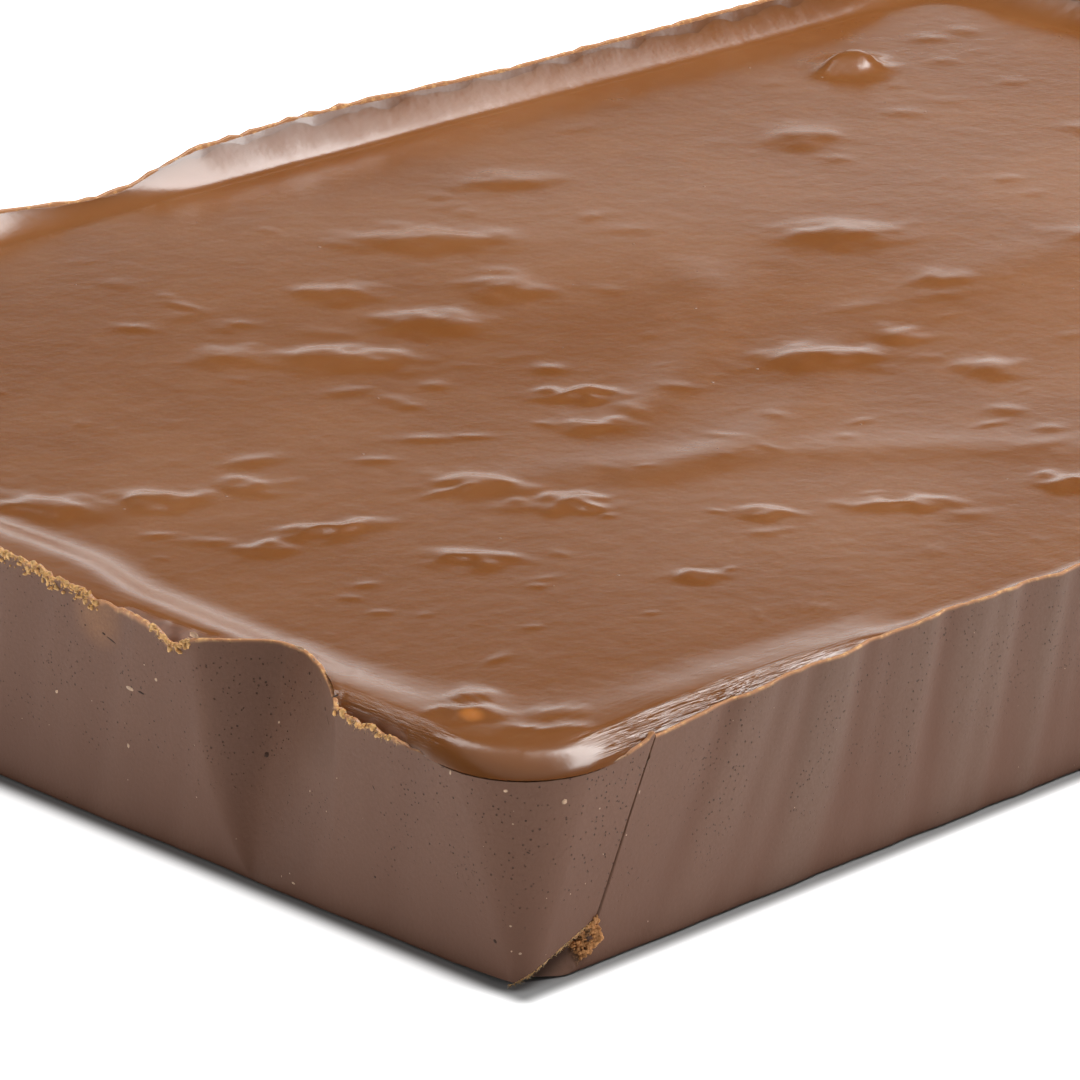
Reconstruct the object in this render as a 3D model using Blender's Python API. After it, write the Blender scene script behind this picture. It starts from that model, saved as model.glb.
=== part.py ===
"""Slab of fudge, turned out of a 330 x 230 mm tray.

The slab is one solid. A thin rim stands round a shallow poured basin, the corners are folded the way the
tray's lining was, one deep flute is pressed into the left side, and the near bottom corner is chipped.
X runs along the length, Y across the width, and the base lies on Z = 0 with the origin at its centre.
Distances round the slab start at the near corner (-X, -Y) and run anticlockwise, seen from above.
"""

import bpy
import bmesh
import numpy as np
from mathutils import Vector, noise

MM = 0.001

# The slab as a whole
LENGTH = 330 * MM
WIDTH = 230 * MM
BASIN_HEIGHT = 26 * MM
BASIN_INSET = 20 * MM
BASIN_CORNER = 2 * MM
CORNER_TOP_RADIUS = 13.5 * MM
CORNER_BASE_RADIUS = 3 * MM
LIP_HEIGHT = 26.4 * MM
BASE_EDGE = 0.4 * MM

# Fold at each corner: a crease that leans away from the corner as it rises
CREASE_TOP = 23.2 * MM
CREASE_BASE = 9.8 * MM
CREASE_REACH = 60 * MM
CREASE_HEIGHT = 28 * MM
CREASE_STEP = 0.5 * MM

# Shallow upright pleats, left by the lining: pitch, share of the depth and phase of each set
PLEAT_DEPTH = 0.3 * MM
PLEATS = ((14.5 * MM, 1.0, 0.0), (34.4 * MM, 0.6, 1.0))
PLEAT_AT_BASE = 0.3
PLEAT_CLEAR_START = 20 * MM
PLEAT_CLEAR_END = 30 * MM

# Height of the rim: distance round the slab and height, both in mm
RIM = (
    (0, 26.4), (14, 26.5), (23, 27.8), (36, 28.8), (50, 29.7), (84, 30.5), (104, 29.9), (140, 30.5),
    (185, 29.8), (235, 30.6), (305, 29.3), (330, 26.9), (356, 29.6), (390, 31.2), (430, 30.2),
    (470, 31.6), (535, 30.0), (560, 27.8), (590, 31.6), (665, 31.4), (715, 32.5), (738, 31.8),
    (760, 27.8), (790, 30.1), (850, 30.3), (890, 27.2), (925, 31.4), (955, 31.0), (1021, 33.1),
    (1044, 31.2), (1054, 28.9), (1060, 30.6), (1069, 29.8), (1084, 28.6), (1094, 27.6), (1107, 26.4),
    (1120, 26.4),
)

# The pour inside the rim, by distance round the slab in mm: width of its slope, how much of it is a rounded
# crest, where the crest's shoulder ends, the middle of its first drop, the length of a drop, and its height
SLOPE_WIDTH = ((0, 10), (60, 10), (330, 9), (560, 7), (890, 7), (950, 18), (1120, 10))
CREST = ((0, 1), (50, 1), (66, 0), (890, 0), (960, 0.8), (1050, 1), (1120, 1))
SHOULDER = ((0, 6.0), (14, 5.0), (50, 5.0), (1070, 4.0), (1104, 4.5), (1120, 6.0))
DROP = (
    (0, 11.0), (16, 10.5), (50, 9.5), (890, 12), (980, 13.5), (1063, 13.5), (1085, 11.5), (1095, 10.5),
    (1110, 11.5), (1120, 11.0),
)
DROP_LENGTH = ((0, 15), (24, 15), (60, 10), (890, 10), (1063, 12), (1098, 14), (1120, 15))
CREST_HEIGHT = ((0, 29.2), (30, 29.3), (60, 29.4), (890, 29.2), (1050, 29.3), (1120, 29.2))
SECOND_DROP = 5 * MM
FIRST_SHARE = 0.58
DROP_MIDDLE = 0.4
SHOULDER_SWEEP = 0.93
SLOPE_POWER = 2.2
SLOPE_BELOW_RIM = 0.35 * MM
CORNER_RISE = 2.4 * MM
CORNER_REACH = 45 * MM

# The thin rim: its thickness, how far its inner edge lies lower, and the heights between which it appears
RIM_THICKNESS = 0.9 * MM
RIM_BEVEL = 0.3 * MM
RIM_STARTS = 26.6 * MM
RIM_FULL = 27.4 * MM

# Flutes: distance round to the edge, valley and edge at the rim, the apex at the base, and the depth
FLUTES = (
    (1059 * MM, 1068.5 * MM, 1085 * MM, 1069.5 * MM, 8.8 * MM),
    (452 * MM, 461 * MM, 474 * MM, 463 * MM, 3.5 * MM),
)
FLUTE_TOP = 29.5 * MM

# Lumps in the poured surface: x, y, half length, half width, height, heading in degrees
LUMPS = (
    (-12, 62, 11, 5, 1.2, -44), (-41, 52, 5, 4, 0.9, -40), (-41, 32, 7, 5, 1.1, -50),
    (-62, 28, 9, 4.5, 1.2, -46), (-74, 41, 4, 4, 0.6, 0), (-21, 36, 5, 5, 0.9, 20),
    (36, 19, 8, 6, 1.2, -44), (-49, -8, 5, 2.5, 1.4, -42), (-58, -20, 5, 3, 0.7, -62),
    (-11, -22, 8, 4, 1.2, -36), (5, -22, 4, 3, 0.7, -44), (3, -42, 4, 4, 0.8, -44),
    (-124, -1, 5, 3.5, 1.3, -44), (-138, 8, 8, 4, 1.1, -52), (-116, -27, 6, 2.5, 1.3, -20),
    (-88, -28, 6, 4, 1.0, -64), (-85, -43, 4, 3.5, 1.3, -44), (-111, -50, 5, 3, 0.9, -60),
    (-127, -26, 3, 3, 0.7, 0), (-111, -5, 4, 3, 0.6, -44), (-54, -76, 6, 2.5, 0.9, -36),
    (-70, -66, 4, 2.5, 0.7, -44), (-97, -77, 2.5, 2, 0.7, -44), (-30, -86, 4, 3, 1.0, -44),
    (-150, -90, 3, 2.5, 1.2, -44), (74, 62, 6, 5, 0.9, 30), (98, -34, 8, 4, 1.0, 60),
    (60, -64, 6, 4, 0.9, -20), (122, 18, 5, 4, 0.8, 10), (20, 78, 7, 4, 0.8, -30),
    (130, 82, 6, 5, 5.0, -44), (88, -92, 5, 3, 0.8, 0), (30, -8, 4, 3, 0.6, 75),
)
LUMP_SHARE = 0.62
LUMP_POWER = 1.15

# Swirls left by the spatula: centre x and y, radius, first and last bearing in degrees, width, height
SWIRLS = (
    (-90, 95, 122, -78, -32, 5, 0.55), (-60, 20, 62, -105, -30, 5, 0.45),
    (40, -160, 150, 62, 118, 8, 0.50), (-150, -190, 175, 35, 72, 6, 0.35),
)
SWIRL_FADE = 10
WAVE_HEIGHT = 0.30 * MM
WAVES = ((31 * MM, 1.7, 47 * MM), (23 * MM, 1.3, 39 * MM))

# Chip at the near bottom corner: its mouth and its deepest point, from that corner, in mm
CHIP_MOUTH = ((0.0, 4.2, -0.05), (13.1, 0.0, 6.64), (13.9, 0.0, 3.3), (8.3, 0.0, -0.05))
CHIP_DEEPEST = (9.4, 2.8, 3.75)
CHIP_REACH = 1.8
CHIP_CRUMB = 0.4 * MM
CHIP_GRAIN = 2.2 * MM
CHIP_CUTS = 5

# Spacing of the mesh: position along a side and the gap between points there, in mm
SPACING_X = ((0, 3.0), (20, 4.0), (110, 5.4), (200, 9.0), (308, 9.0), (330, 3.8))
SPACING_Y = ((0, 3.0), (20, 4.0), (100, 5.2), (150, 7.0), (212, 7.5), (230, 3.8))
WALL_LEVELS = (0.03, 0.20, 0.38, 0.56, 0.74, 0.90, 1.0)
SLOPE_LEVELS = (2.6 * MM, 5 * MM, 8 * MM, 12 * MM, 16 * MM)
SPACING_SAMPLES = 2000

FUDGE_COLOUR = (0.275, 0.130, 0.071, 1.0)
FUDGE_ROUGHNESS = 0.42


def ease(t):
    """A step from 0 to 1 with level ends."""
    t = np.clip(t, 0.0, 1.0)
    return t * t * (3.0 - 2.0 * t)


def follow(points, distance):
    """Read a list of (distance, value) at the distances, with an eased step from each value to the next."""
    at = np.array([p[0] for p in points], float)
    value = np.array([p[1] for p in points], float)
    k = np.clip(np.searchsorted(at, distance, side="right") - 1, 0, len(at) - 2)
    t = (distance - at[k]) / (at[k + 1] - at[k])
    return value[k] + (value[k + 1] - value[k]) * ease(t)


def graded(spacing):
    """Positions from the first to the last mark, with gaps that follow the spacing between the marks."""
    at = np.array([p[0] for p in spacing], float)
    gap = np.array([p[1] for p in spacing], float)
    fine = np.linspace(at[0], at[-1], SPACING_SAMPLES)
    count = np.concatenate(([0.0], np.cumsum(np.diff(fine) / np.interp(fine[1:], at, gap))))
    return np.interp(np.linspace(0.0, count[-1], int(round(count[-1])) + 1), count, fine) * MM


def rim_height(distance):
    """Height of the rim's edge."""
    return follow(RIM, distance / MM) * MM


def flute_depth(distance, height):
    """Depth of the flutes, which are cones: width and depth grow evenly from the apex on the base.

    Across, a flute is half a cosine wave down to its valley, then a parabola up to a sharp edge.
    """
    depth = np.zeros(np.broadcast(distance, height).shape)
    for start, valley, end, apex, deepest in FLUTES:
        rise = np.maximum(height / FLUTE_TOP, 1e-6)
        from_apex = (distance - apex) / rise
        before = (from_apex - (valley - apex)) / (start - valley)
        after = (from_apex - (valley - apex)) / (end - valley)
        bell = 0.5 + 0.5 * np.cos(np.pi * np.clip(before, 0.0, 1.0))
        bowl = 1.0 - np.clip(after, 0.0, 1.0) ** 2
        depth = depth + deepest * rise * np.where(before > 0.0, bell, bowl)
    return depth


def around(xs, ys):
    """Side and distance along it for every point round the slab, starting at the near corner."""
    side = np.concatenate([np.full(len(g) - 1, k) for k, g in enumerate((xs, ys, xs, ys))])
    along = np.concatenate((xs[:-1], ys[:-1], LENGTH - xs[:0:-1], WIDTH - ys[:0:-1]))
    return side, along


def side_length(side):
    """Length of the side that each point is on."""
    return np.where(side % 2 == 0, LENGTH, WIDTH)


def rounded(side, along, inset, radius):
    """Plan point and outward direction on a rectangle that is inset and has its corners rounded."""
    half = np.array((LENGTH / 2, WIDTH / 2))
    start = half * np.array(((-1, -1), (1, -1), (1, 1), (-1, 1)), float)
    run = np.array(((1, 0), (0, 1), (-1, 0), (0, -1)), float)
    square = (start[side] + run[side] * along[:, None]) * (half - inset) / half
    core = np.clip(square, radius[:, None] - half + inset, half - inset - radius[:, None])
    out = square - core
    out /= np.maximum(np.linalg.norm(out, axis=1), 1e-9)[:, None]
    return core + out * radius[:, None], out


def leaned(side, along, height):
    """Move the points near a side's start along it, so that a column of points follows the crease."""
    crease = CREASE_BASE + (CREASE_TOP - CREASE_BASE) * height / CREASE_HEIGHT
    inner = along * crease / CREASE_TOP
    outer = crease + (along - CREASE_TOP) * (CREASE_REACH - crease) / (CREASE_REACH - CREASE_TOP)
    return np.where(along < CREASE_TOP, inner, np.where(along < CREASE_REACH, outer, along))


def wall(side, along, distance, height):
    """Plan points of the outer wall at a height: rounded corners, creases, pleats and flutes."""
    share = np.clip(height / CREASE_HEIGHT, 0.0, 1.0)
    radius = CORNER_BASE_RADIUS + (CORNER_TOP_RADIUS - CORNER_BASE_RADIUS) * share
    point, out = rounded(side, leaned(side, along, height), 0.0, radius)
    step = np.where(along < CREASE_TOP, CREASE_STEP * ease(along / CREASE_TOP), 0.0)
    clear = ease((along - CREASE_TOP) / PLEAT_CLEAR_START) * ease((side_length(side) - along) / PLEAT_CLEAR_END)
    wave = sum(part * np.cos(2 * np.pi * along / pitch + phase) for pitch, part, phase in PLEATS)
    pleat = PLEAT_DEPTH * clear * wave * (PLEAT_AT_BASE + (1.0 - PLEAT_AT_BASE) * share)
    offset = step * share - pleat - flute_depth(distance, height)
    return point + out * (offset - CREASE_STEP)[:, None]


def pour(x, y):
    """Height of the poured surface: a level with slow waves, a rise at the near corner, swirls and lumps."""
    (length_x, bend_x, along_x), (length_y, bend_y, along_y) = WAVES
    z = BASIN_HEIGHT + 0.5 * WAVE_HEIGHT * (
        np.sin(x / length_x + bend_x * np.sin(y / along_x)) + np.sin(y / length_y + bend_y * np.sin(x / along_y))
    )
    to_corner = np.hypot(x + LENGTH / 2, y + WIDTH / 2) / CORNER_REACH
    z = z + CORNER_RISE * np.exp(-to_corner * to_corner)
    for cx, cy, radius, first, last, width, height in SWIRLS:
        dx = x - cx * MM
        dy = y - cy * MM
        bearing = np.degrees(np.arctan2(dy, dx))
        ends = ease((bearing - first) / SWIRL_FADE) * ease((last - bearing) / SWIRL_FADE)
        across = (np.hypot(dx, dy) - radius * MM) / (width * MM)
        z = z + height * MM * ends * np.exp(-across * across)
    for cx, cy, half_length, half_width, height, heading in LUMPS:
        turn = np.radians(heading)
        dx = x - cx * MM
        dy = y - cy * MM
        u = (dx * np.cos(turn) + dy * np.sin(turn)) / (half_length * MM)
        v = (dy * np.cos(turn) - dx * np.sin(turn)) / (half_width * MM)
        z = z + LUMP_SHARE * height * MM * np.exp(-((u * u + v * v) ** LUMP_POWER))
    return z


def poured_edge(distance, rim, depth, level):
    """Height of the poured surface at a depth inside the wall, over the basin's level.

    Where there is a crest, it rises as part of an ellipse to the crest, runs level, and eases down into the
    basin in two steps. Elsewhere it hangs from the rim as a power curve.
    """
    shoulder = follow(SHOULDER, distance / MM) * MM
    drop = follow(DROP, distance / MM) * MM
    length = follow(DROP_LENGTH, distance / MM) * MM
    crest = follow(CREST_HEIGHT, distance / MM) * MM
    sweep = np.clip(1.0 - depth / shoulder, 0.0, 1.0) * SHOULDER_SWEEP
    fall = (1.0 - np.sqrt(1.0 - sweep * sweep)) / (1.0 - np.sqrt(1.0 - SHOULDER_SWEEP**2))
    up = crest - (crest - LIP_HEIGHT) * fall
    first = ease((depth - drop) / length + DROP_MIDDLE)
    second = ease((depth - drop - SECOND_DROP) / length + DROP_MIDDLE)
    crested = up + (level - up) * (FIRST_SHARE * first + (1.0 - FIRST_SHARE) * second)
    width = follow(SLOPE_WIDTH, distance / MM) * MM
    hung = level + (rim - SLOPE_BELOW_RIM - level) * np.clip(1.0 - depth / width, 0.0, 1.0) ** SLOPE_POWER
    return hung + (crested - hung) * follow(CREST, distance / MM)


def slab_mesh():
    """Vertices and faces: base, wall rings, rim and slope rings, and the basin grid that they close on."""
    xs = graded(SPACING_X)
    ys = graded(SPACING_Y)
    side, along = around(xs, ys)
    distance = np.array((0.0, LENGTH, LENGTH + WIDTH, 2 * LENGTH + WIDTH))[side] + along
    rim = rim_height(distance)
    rings = []

    foot, out = rounded(side, leaned(side, along, 0.0 * along), 0.0, np.full(len(side), CORNER_BASE_RADIUS))
    rings.append(np.column_stack((foot - out * (BASE_EDGE + CREASE_STEP), 0.0 * along)))
    for level in WALL_LEVELS:
        height = rim * level
        rings.append(np.column_stack((wall(side, along, distance, height), height)))

    edge = rings[-1][:, :2]
    inner, _ = rounded(side, along, BASIN_INSET, np.full(len(side), BASIN_CORNER))
    thin = ease((rim - RIM_STARTS) / (RIM_FULL - RIM_STARTS))
    flute = flute_depth(distance, rim)
    for inward in (RIM_THICKNESS, *SLOPE_LEVELS):
        share = inward / BASIN_INSET
        plan = edge + (inner - edge) * share
        level = pour(plan[:, 0], plan[:, 1])
        height = poured_edge(distance, rim, inward + flute * (1.0 - share), level)
        if inward == RIM_THICKNESS:
            height = height + (rim - RIM_BEVEL - height) * thin
        rings.append(np.column_stack((plan, height)))

    grid_x, grid_y = np.meshgrid(
        (xs - LENGTH / 2) * (1 - 2 * BASIN_INSET / LENGTH),
        (ys - WIDTH / 2) * (1 - 2 * BASIN_INSET / WIDTH),
        indexing="ij",
    )
    columns, rows = grid_x.shape
    index = np.zeros((columns, rows), int)
    ring_size = len(side)
    first = ring_size * len(rings)
    border = np.concatenate((
        [(i, 0) for i in range(columns - 1)],
        [(columns - 1, j) for j in range(rows - 1)],
        [(i, rows - 1) for i in range(columns - 1, 0, -1)],
        [(0, j) for j in range(rows - 1, 0, -1)],
    ))
    index[1:-1, 1:-1] = first + ring_size + np.arange((columns - 2) * (rows - 2)).reshape(columns - 2, -1)
    index[border[:, 0], border[:, 1]] = first + np.arange(ring_size)
    rings.append(np.column_stack((inner, pour(inner[:, 0], inner[:, 1]))))
    middle_x = grid_x[1:-1, 1:-1].ravel()
    middle_y = grid_y[1:-1, 1:-1].ravel()
    vertices = np.vstack(rings + [np.column_stack((middle_x, middle_y, pour(middle_x, middle_y)))])

    faces = [tuple(range(ring_size))[::-1]]
    for ring in range(len(rings) - 1):
        low = ring * ring_size
        high = low + ring_size
        for k in range(ring_size):
            n = (k + 1) % ring_size
            faces.append((low + k, low + n, high + n, high + k))
    for i in range(columns - 1):
        for j in range(rows - 1):
            faces.append((index[i, j], index[i + 1, j], index[i + 1, j + 1], index[i, j + 1]))
    return vertices, faces


def fudge_material():
    """Milk chocolate fudge."""
    material = bpy.data.materials.new("milk_fudge")
    material.use_nodes = True
    shader = material.node_tree.nodes["Principled BSDF"]
    shader.inputs["Base Color"].default_value = FUDGE_COLOUR
    shader.inputs["Roughness"].default_value = FUDGE_ROUGHNESS
    shader.inputs["Metallic"].default_value = 0.0
    return material


def add_slab():
    """The slab as one closed body."""
    vertices, faces = slab_mesh()
    mesh = bpy.data.meshes.new("fudge_slab")
    mesh.from_pydata(vertices.tolist(), [], [tuple(int(v) for v in f) for f in faces])
    mesh.materials.append(fudge_material())
    mesh.shade_smooth()
    slab = bpy.data.objects.new("fudge_slab", mesh)
    bpy.context.scene.collection.objects.link(slab)
    return slab


def add_chip_cutter():
    """A four-sided point with slightly uneven faces, which reaches out past the corner."""
    corner = Vector((-LENGTH / 2, -WIDTH / 2, 0.0))
    deepest = Vector(CHIP_DEEPEST) * MM
    body = bmesh.new()
    tip = body.verts.new(deepest)
    mouth = []
    for point in CHIP_MOUTH:
        mouth.append(body.verts.new(deepest + (Vector(point) * MM - deepest) * CHIP_REACH))
    for k in range(len(mouth)):
        body.faces.new((mouth[k - 1], mouth[k], tip))
    body.faces.new(mouth)
    bmesh.ops.triangulate(body, faces=body.faces[:])
    bmesh.ops.subdivide_edges(body, edges=body.edges[:], cuts=CHIP_CUTS, use_grid_fill=True)
    bmesh.ops.triangulate(body, faces=body.faces[:])
    bmesh.ops.recalc_face_normals(body, faces=body.faces[:])
    for vert in body.verts:
        vert.co = vert.co + noise.noise_vector(vert.co / CHIP_GRAIN) * CHIP_CRUMB + corner
    mesh = bpy.data.meshes.new("chip_cutter")
    body.to_mesh(mesh)
    body.free()
    cutter = bpy.data.objects.new("chip_cutter", mesh)
    cutter.hide_render = True
    cutter.display_type = "WIRE"
    bpy.context.scene.collection.objects.link(cutter)
    return cutter


def main():
    for item in list(bpy.data.objects):
        bpy.data.objects.remove(item)
    slab = add_slab()
    chip = slab.modifiers.new("corner_chip", "BOOLEAN")
    chip.operation = "DIFFERENCE"
    chip.object = add_chip_cutter()


main()
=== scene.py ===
"""Finish of a slab of milk chocolate fudge that was poured in a 330 x 230 mm tray and turned out.

The solid slab comes from the frame. Two skins stand for it: the matt moulded sides with their thin rim, and
the glossy poured top. Loose flakes, crumbs, specks and fibres lie on them. Distances round the slab start at
the near corner (-X, -Y) and run anticlockwise, seen from above. Lengths are in metres where no comment says
that they are in mm.
"""

import bpy
import numpy as np
from bpy.props import FloatProperty, FloatVectorProperty, PointerProperty
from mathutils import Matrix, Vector


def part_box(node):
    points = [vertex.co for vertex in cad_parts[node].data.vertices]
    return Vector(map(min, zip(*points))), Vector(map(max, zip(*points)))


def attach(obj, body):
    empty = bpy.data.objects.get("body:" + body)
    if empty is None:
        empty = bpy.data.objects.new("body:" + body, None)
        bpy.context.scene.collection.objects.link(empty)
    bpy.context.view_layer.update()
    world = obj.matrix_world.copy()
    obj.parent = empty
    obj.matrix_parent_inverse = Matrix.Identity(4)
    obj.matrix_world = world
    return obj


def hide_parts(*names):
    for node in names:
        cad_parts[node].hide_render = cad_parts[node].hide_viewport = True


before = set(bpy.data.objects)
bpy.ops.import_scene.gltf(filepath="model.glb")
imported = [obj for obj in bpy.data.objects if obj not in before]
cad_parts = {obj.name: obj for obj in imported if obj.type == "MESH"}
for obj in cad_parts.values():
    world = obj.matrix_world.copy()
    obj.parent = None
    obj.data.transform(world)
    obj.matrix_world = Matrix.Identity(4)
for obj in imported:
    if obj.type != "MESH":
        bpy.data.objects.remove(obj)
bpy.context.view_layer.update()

bl_info = {
    "name": "Fudge slab finish",
    "version": (1, 0, 0),
    "blender": (4, 5, 0),
    "location": "3D View > Sidebar > Fudge",
    "description": "Builds the moulded sides, the poured top and the crumbs of a slab of fudge",
    "category": "Add Mesh",
}

SLAB_LOW, SLAB_HIGH = (Vector(corner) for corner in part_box("fudge_slab"))
BODY = "root"
NODE = "fudge_slab"
MM = 0.001
DEGREE = np.pi / 180

SHARP_ANGLE = 50 * DEGREE

# Distance all the way round the slab, in mm
ROUND = 1120

# Height of the rim: distance round the slab and height, both in mm
RIM = (
    (0, 26.4), (14, 26.5), (18, 27.0), (23, 27.9), (36, 28.8), (50, 29.7), (84, 30.5), (104, 29.9),
    (140, 30.5), (185, 29.8), (235, 30.6), (305, 29.3), (330, 26.9), (356, 29.6), (390, 31.2), (430, 30.2),
    (470, 31.6), (535, 30.0), (560, 27.8), (590, 31.6), (665, 31.4), (715, 32.5), (738, 31.8),
    (760, 27.8), (790, 30.1), (850, 30.3), (890, 27.2), (925, 31.4), (955, 31.0), (1021, 33.1),
    (1044, 31.2), (1051, 30.4), (1054, 28.9), (1060, 30.7), (1069, 29.8), (1082, 28.7), (1087, 28.1),
    (1096, 27.4), (1107, 26.4), (1120, 26.4),
)

# The rim stands as a thin fin where it rises above the pour: the height from which it does, and over how much
FIN_FROM = 26.6 * MM
FIN_OVER = 0.8 * MM

# How ragged the rim is: distance round the slab and the depth of its nicks, both in mm
NICKS = (
    (0, 0.02), (60, 0.06), (104, 0.05), (330, 0.08), (560, 0.15), (740, 0.25), (890, 0.10), (1015, 0.15),
    (1024, 0.45), (1044, 0.35), (1056, 0.45), (1061, 0.04), (1080, 0.06), (1086, 0.35), (1096, 0.30),
    (1101, 0.03), (1120, 0.0),
)

# The poured edge inside the rim, by distance round the slab, in mm: where its shoulder ends, the middle of
# the first of its two drops into the basin, the height of its crest, how much of it there is, the length of
# the drops, and the width of the plain slope where there is no crest
SHOULDER = ((0, 6.0), (14, 5.0), (30, 4.2), (50, 3.0), (66, 2.4), (1070, 3.5), (1104, 3.4), (1120, 6.0))
DROP = (
    (0, 10.0), (16, 8.5), (30, 7.0), (50, 5.5), (66, 4.5), (890, 12), (980, 13.5), (1020, 13.5), (1043, 9.7),
    (1066, 8.5), (1085, 7.5), (1097, 7.5), (1110, 10.0), (1120, 10.0),
)
CREST_HEIGHT = (
    (0, 29.2), (16, 29.3), (30, 29.6), (50, 29.6), (62, 29.5), (80, 29.3), (890, 29.2), (1050, 29.3),
    (1120, 29.2),
)
CREST = ((0, 1), (58, 1), (74, 0), (890, 0), (960, 0.8), (1050, 1), (1120, 1))
DROP_LENGTH = ((0, 12), (24, 9), (50, 6), (66, 5), (890, 10), (1000, 9), (1063, 8), (1098, 9), (1120, 12))
SLOPE_WIDTH = ((0, 10), (60, 5), (330, 5), (560, 7), (590, 5.5), (870, 6.5), (890, 7), (950, 18), (1120, 10))

# Shapes of the poured edge: the slope's power and how far under the rim it starts, how much of a quarter of
# an ellipse the shoulder takes, how far behind the first drop the second is, the first one's share of the
# fall, and how far along a drop is at its distance
SLOPE_POWER = 1.4
SLOPE_BELOW_RIM = 0.35 * MM
SHOULDER_PART = 0.93
SECOND_DROP = 4.0 * MM
FIRST_SHARE = 0.58
DROP_AHEAD = 0.4

# Rise of the whole pour towards the near corner
CORNER_RISE = 2.7 * MM
CORNER_REACH = (140 * MM, 66 * MM)

# Flutes: distance round to the edge, valley and edge at the rim, the apex at the base, and the depth, in mm
FLUTES = ((1057.5, 1067.5, 1085, 1069.5, 8.8), (452, 461, 474, 463, 3.5))

# The height where a flute has that depth, how both flanks open with height, the powers of their sections,
# and the height from which the far one gets sharper, and over how much, in mm
FLUTE_TOP = 29.5 * MM
FLUTE_OPENING = (7.0 * MM, 3.6 * MM)
FLUTE_POWERS = (1.15, 0.8)
FLUTE_SHARPENS = (17.0, 10.0)

# Lumps in the poured surface: x, y, half length, half width and height in mm, and heading in degrees
LUMPS = (
    (-12, 62, 11, 5, 1.2, -44), (-41, 52, 5, 4, 0.9, -40), (-41, 32, 7, 5, 1.1, -50),
    (-62, 28, 9, 4.5, 1.2, -46), (-74, 41, 4, 4, 0.6, 0), (-21, 36, 5, 5, 0.9, 20),
    (36, 19, 8, 6, 1.2, -44), (-49, -8, 5, 2.5, 1.4, -42), (-58, -20, 5, 3, 0.7, -62),
    (-11, -22, 8, 4, 1.2, -36), (5, -22, 4, 3, 0.7, -44), (3, -42, 4, 4, 0.8, -44),
    (-124, -1, 5, 3.5, 1.3, -44), (-138, 8, 8, 4, 1.1, -52), (-116, -27, 6, 2.5, 1.3, -20),
    (-88, -28, 6, 4, 1.0, -64), (-85, -43, 4, 3.5, 1.3, -44), (-111, -50, 5, 3, 0.9, -60),
    (-127, -26, 3, 3, 0.7, 0), (-111, -5, 4, 3, 0.6, -44), (-54, -76, 6, 2.5, 0.9, -36),
    (-70, -66, 4, 2.5, 0.7, -44), (-97, -77, 2.5, 2, 0.7, -44), (-30, -86, 4, 3, 1.0, -44),
    (-150, -90, 3, 2.5, 1.2, -44), (-154.6, -94.6, 4.2, 2.0, 1.3, -40), (-152.5, -105.5, 5, 2.0, 0.9, -44),
    (-147.2, -102.5, 3.5, 1.6, 0.7, -30), (74, 62, 6, 5, 0.9, 30), (98, -34, 8, 4, 1.0, 60),
    (60, -64, 6, 4, 0.9, -20), (122, 18, 5, 4, 0.8, 10), (20, 78, 7, 4, 0.8, -30),
    (112, 86, 5, 5, 5.0, -44), (88, -92, 5, 3, 0.8, 0), (30, -8, 4, 3, 0.6, 75),
)

# The share of that height that a lump has, the power of its section, and how far its outline wanders
LUMP_SHARE = 0.62
LUMP_POWER = 1.15
LUMP_WARP = 0.9 * MM

# Swirls left by the spatula: centre x and y, radius, first and last bearing in degrees, width, height in mm
SWIRLS = (
    (-90, 95, 122, -78, -32, 5, 0.36), (-60, 20, 62, -105, -30, 5, 0.30),
    (40, -160, 150, 62, 118, 8, 0.20), (-150, -190, 175, 35, 72, 6, 0.20),
)

# An amber patch on the near side of the lump nearest to the corner
AMBER_SPOT = (-155.6 * MM, -96.2 * MM, 30.2 * MM)
AMBER_RADIUS = 2.3 * MM

# Slow waves and drawn small blisters of the poured surface
WAVE_HEIGHT = 0.30 * MM
BLISTERS = 260
BLISTER_SEED = 7

# Fold past each corner: a crease that leans away from the corner as it rises. Its distance from the corner at
# the top and at the base, how far the columns of points are shifted to follow it, the height of its top, the
# step and the groove at it, and where extra columns lie beside it, in mm
CREASE_TOP = 23.2 * MM
CREASE_BASE = 9.8 * MM
CREASE_REACH = 60 * MM
CREASE_HEIGHT = 28 * MM
CREASE_STEP = 0.25 * MM
CREASE_GROOVE = 0.48 * MM
CREASE_EDGES = (-0.9, -0.45, -0.2, -0.08, -0.02, 0.03, 0.12, 0.22, 0.34, 0.46, 0.58, 0.8)
WALL_INSET = 0.5 * MM

# Pleats: pitch in mm, share of the depth, and phase
PLEATS = ((14.5, 1.0, 0.0), (34.4, 0.6, 1.0), (8.3, 0.45, 2.2), (5.1, 0.25, 0.4))
PLEAT_DEPTH = 0.30 * MM
PLEAT_LEAN = 0.24
PLEAT_STRENGTH = ((0, 1), (330, 1), (560, 0.3), (890, 0.5), (930, 0.35), (1120, 0.3))

# Chip at the near bottom corner: its mouth, its deepest point and the way in, from that corner, in mm, and
# how far the base is broken away beside it
CHIP_MOUTH = ((0.0, 3.2, -0.05), (13.1, 0.0, 6.64), (13.9, 0.0, 3.3), (10.0, 0.0, -0.05))
CHIP_DEEPEST = (9.4, 2.8, 3.75)
CHIP_WAY_IN = (0.516, 0.857, 0.0)
BASE_LIFT = 1.05 * MM
BASE_LIFT_REACH = (9 * MM, 17 * MM)

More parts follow.
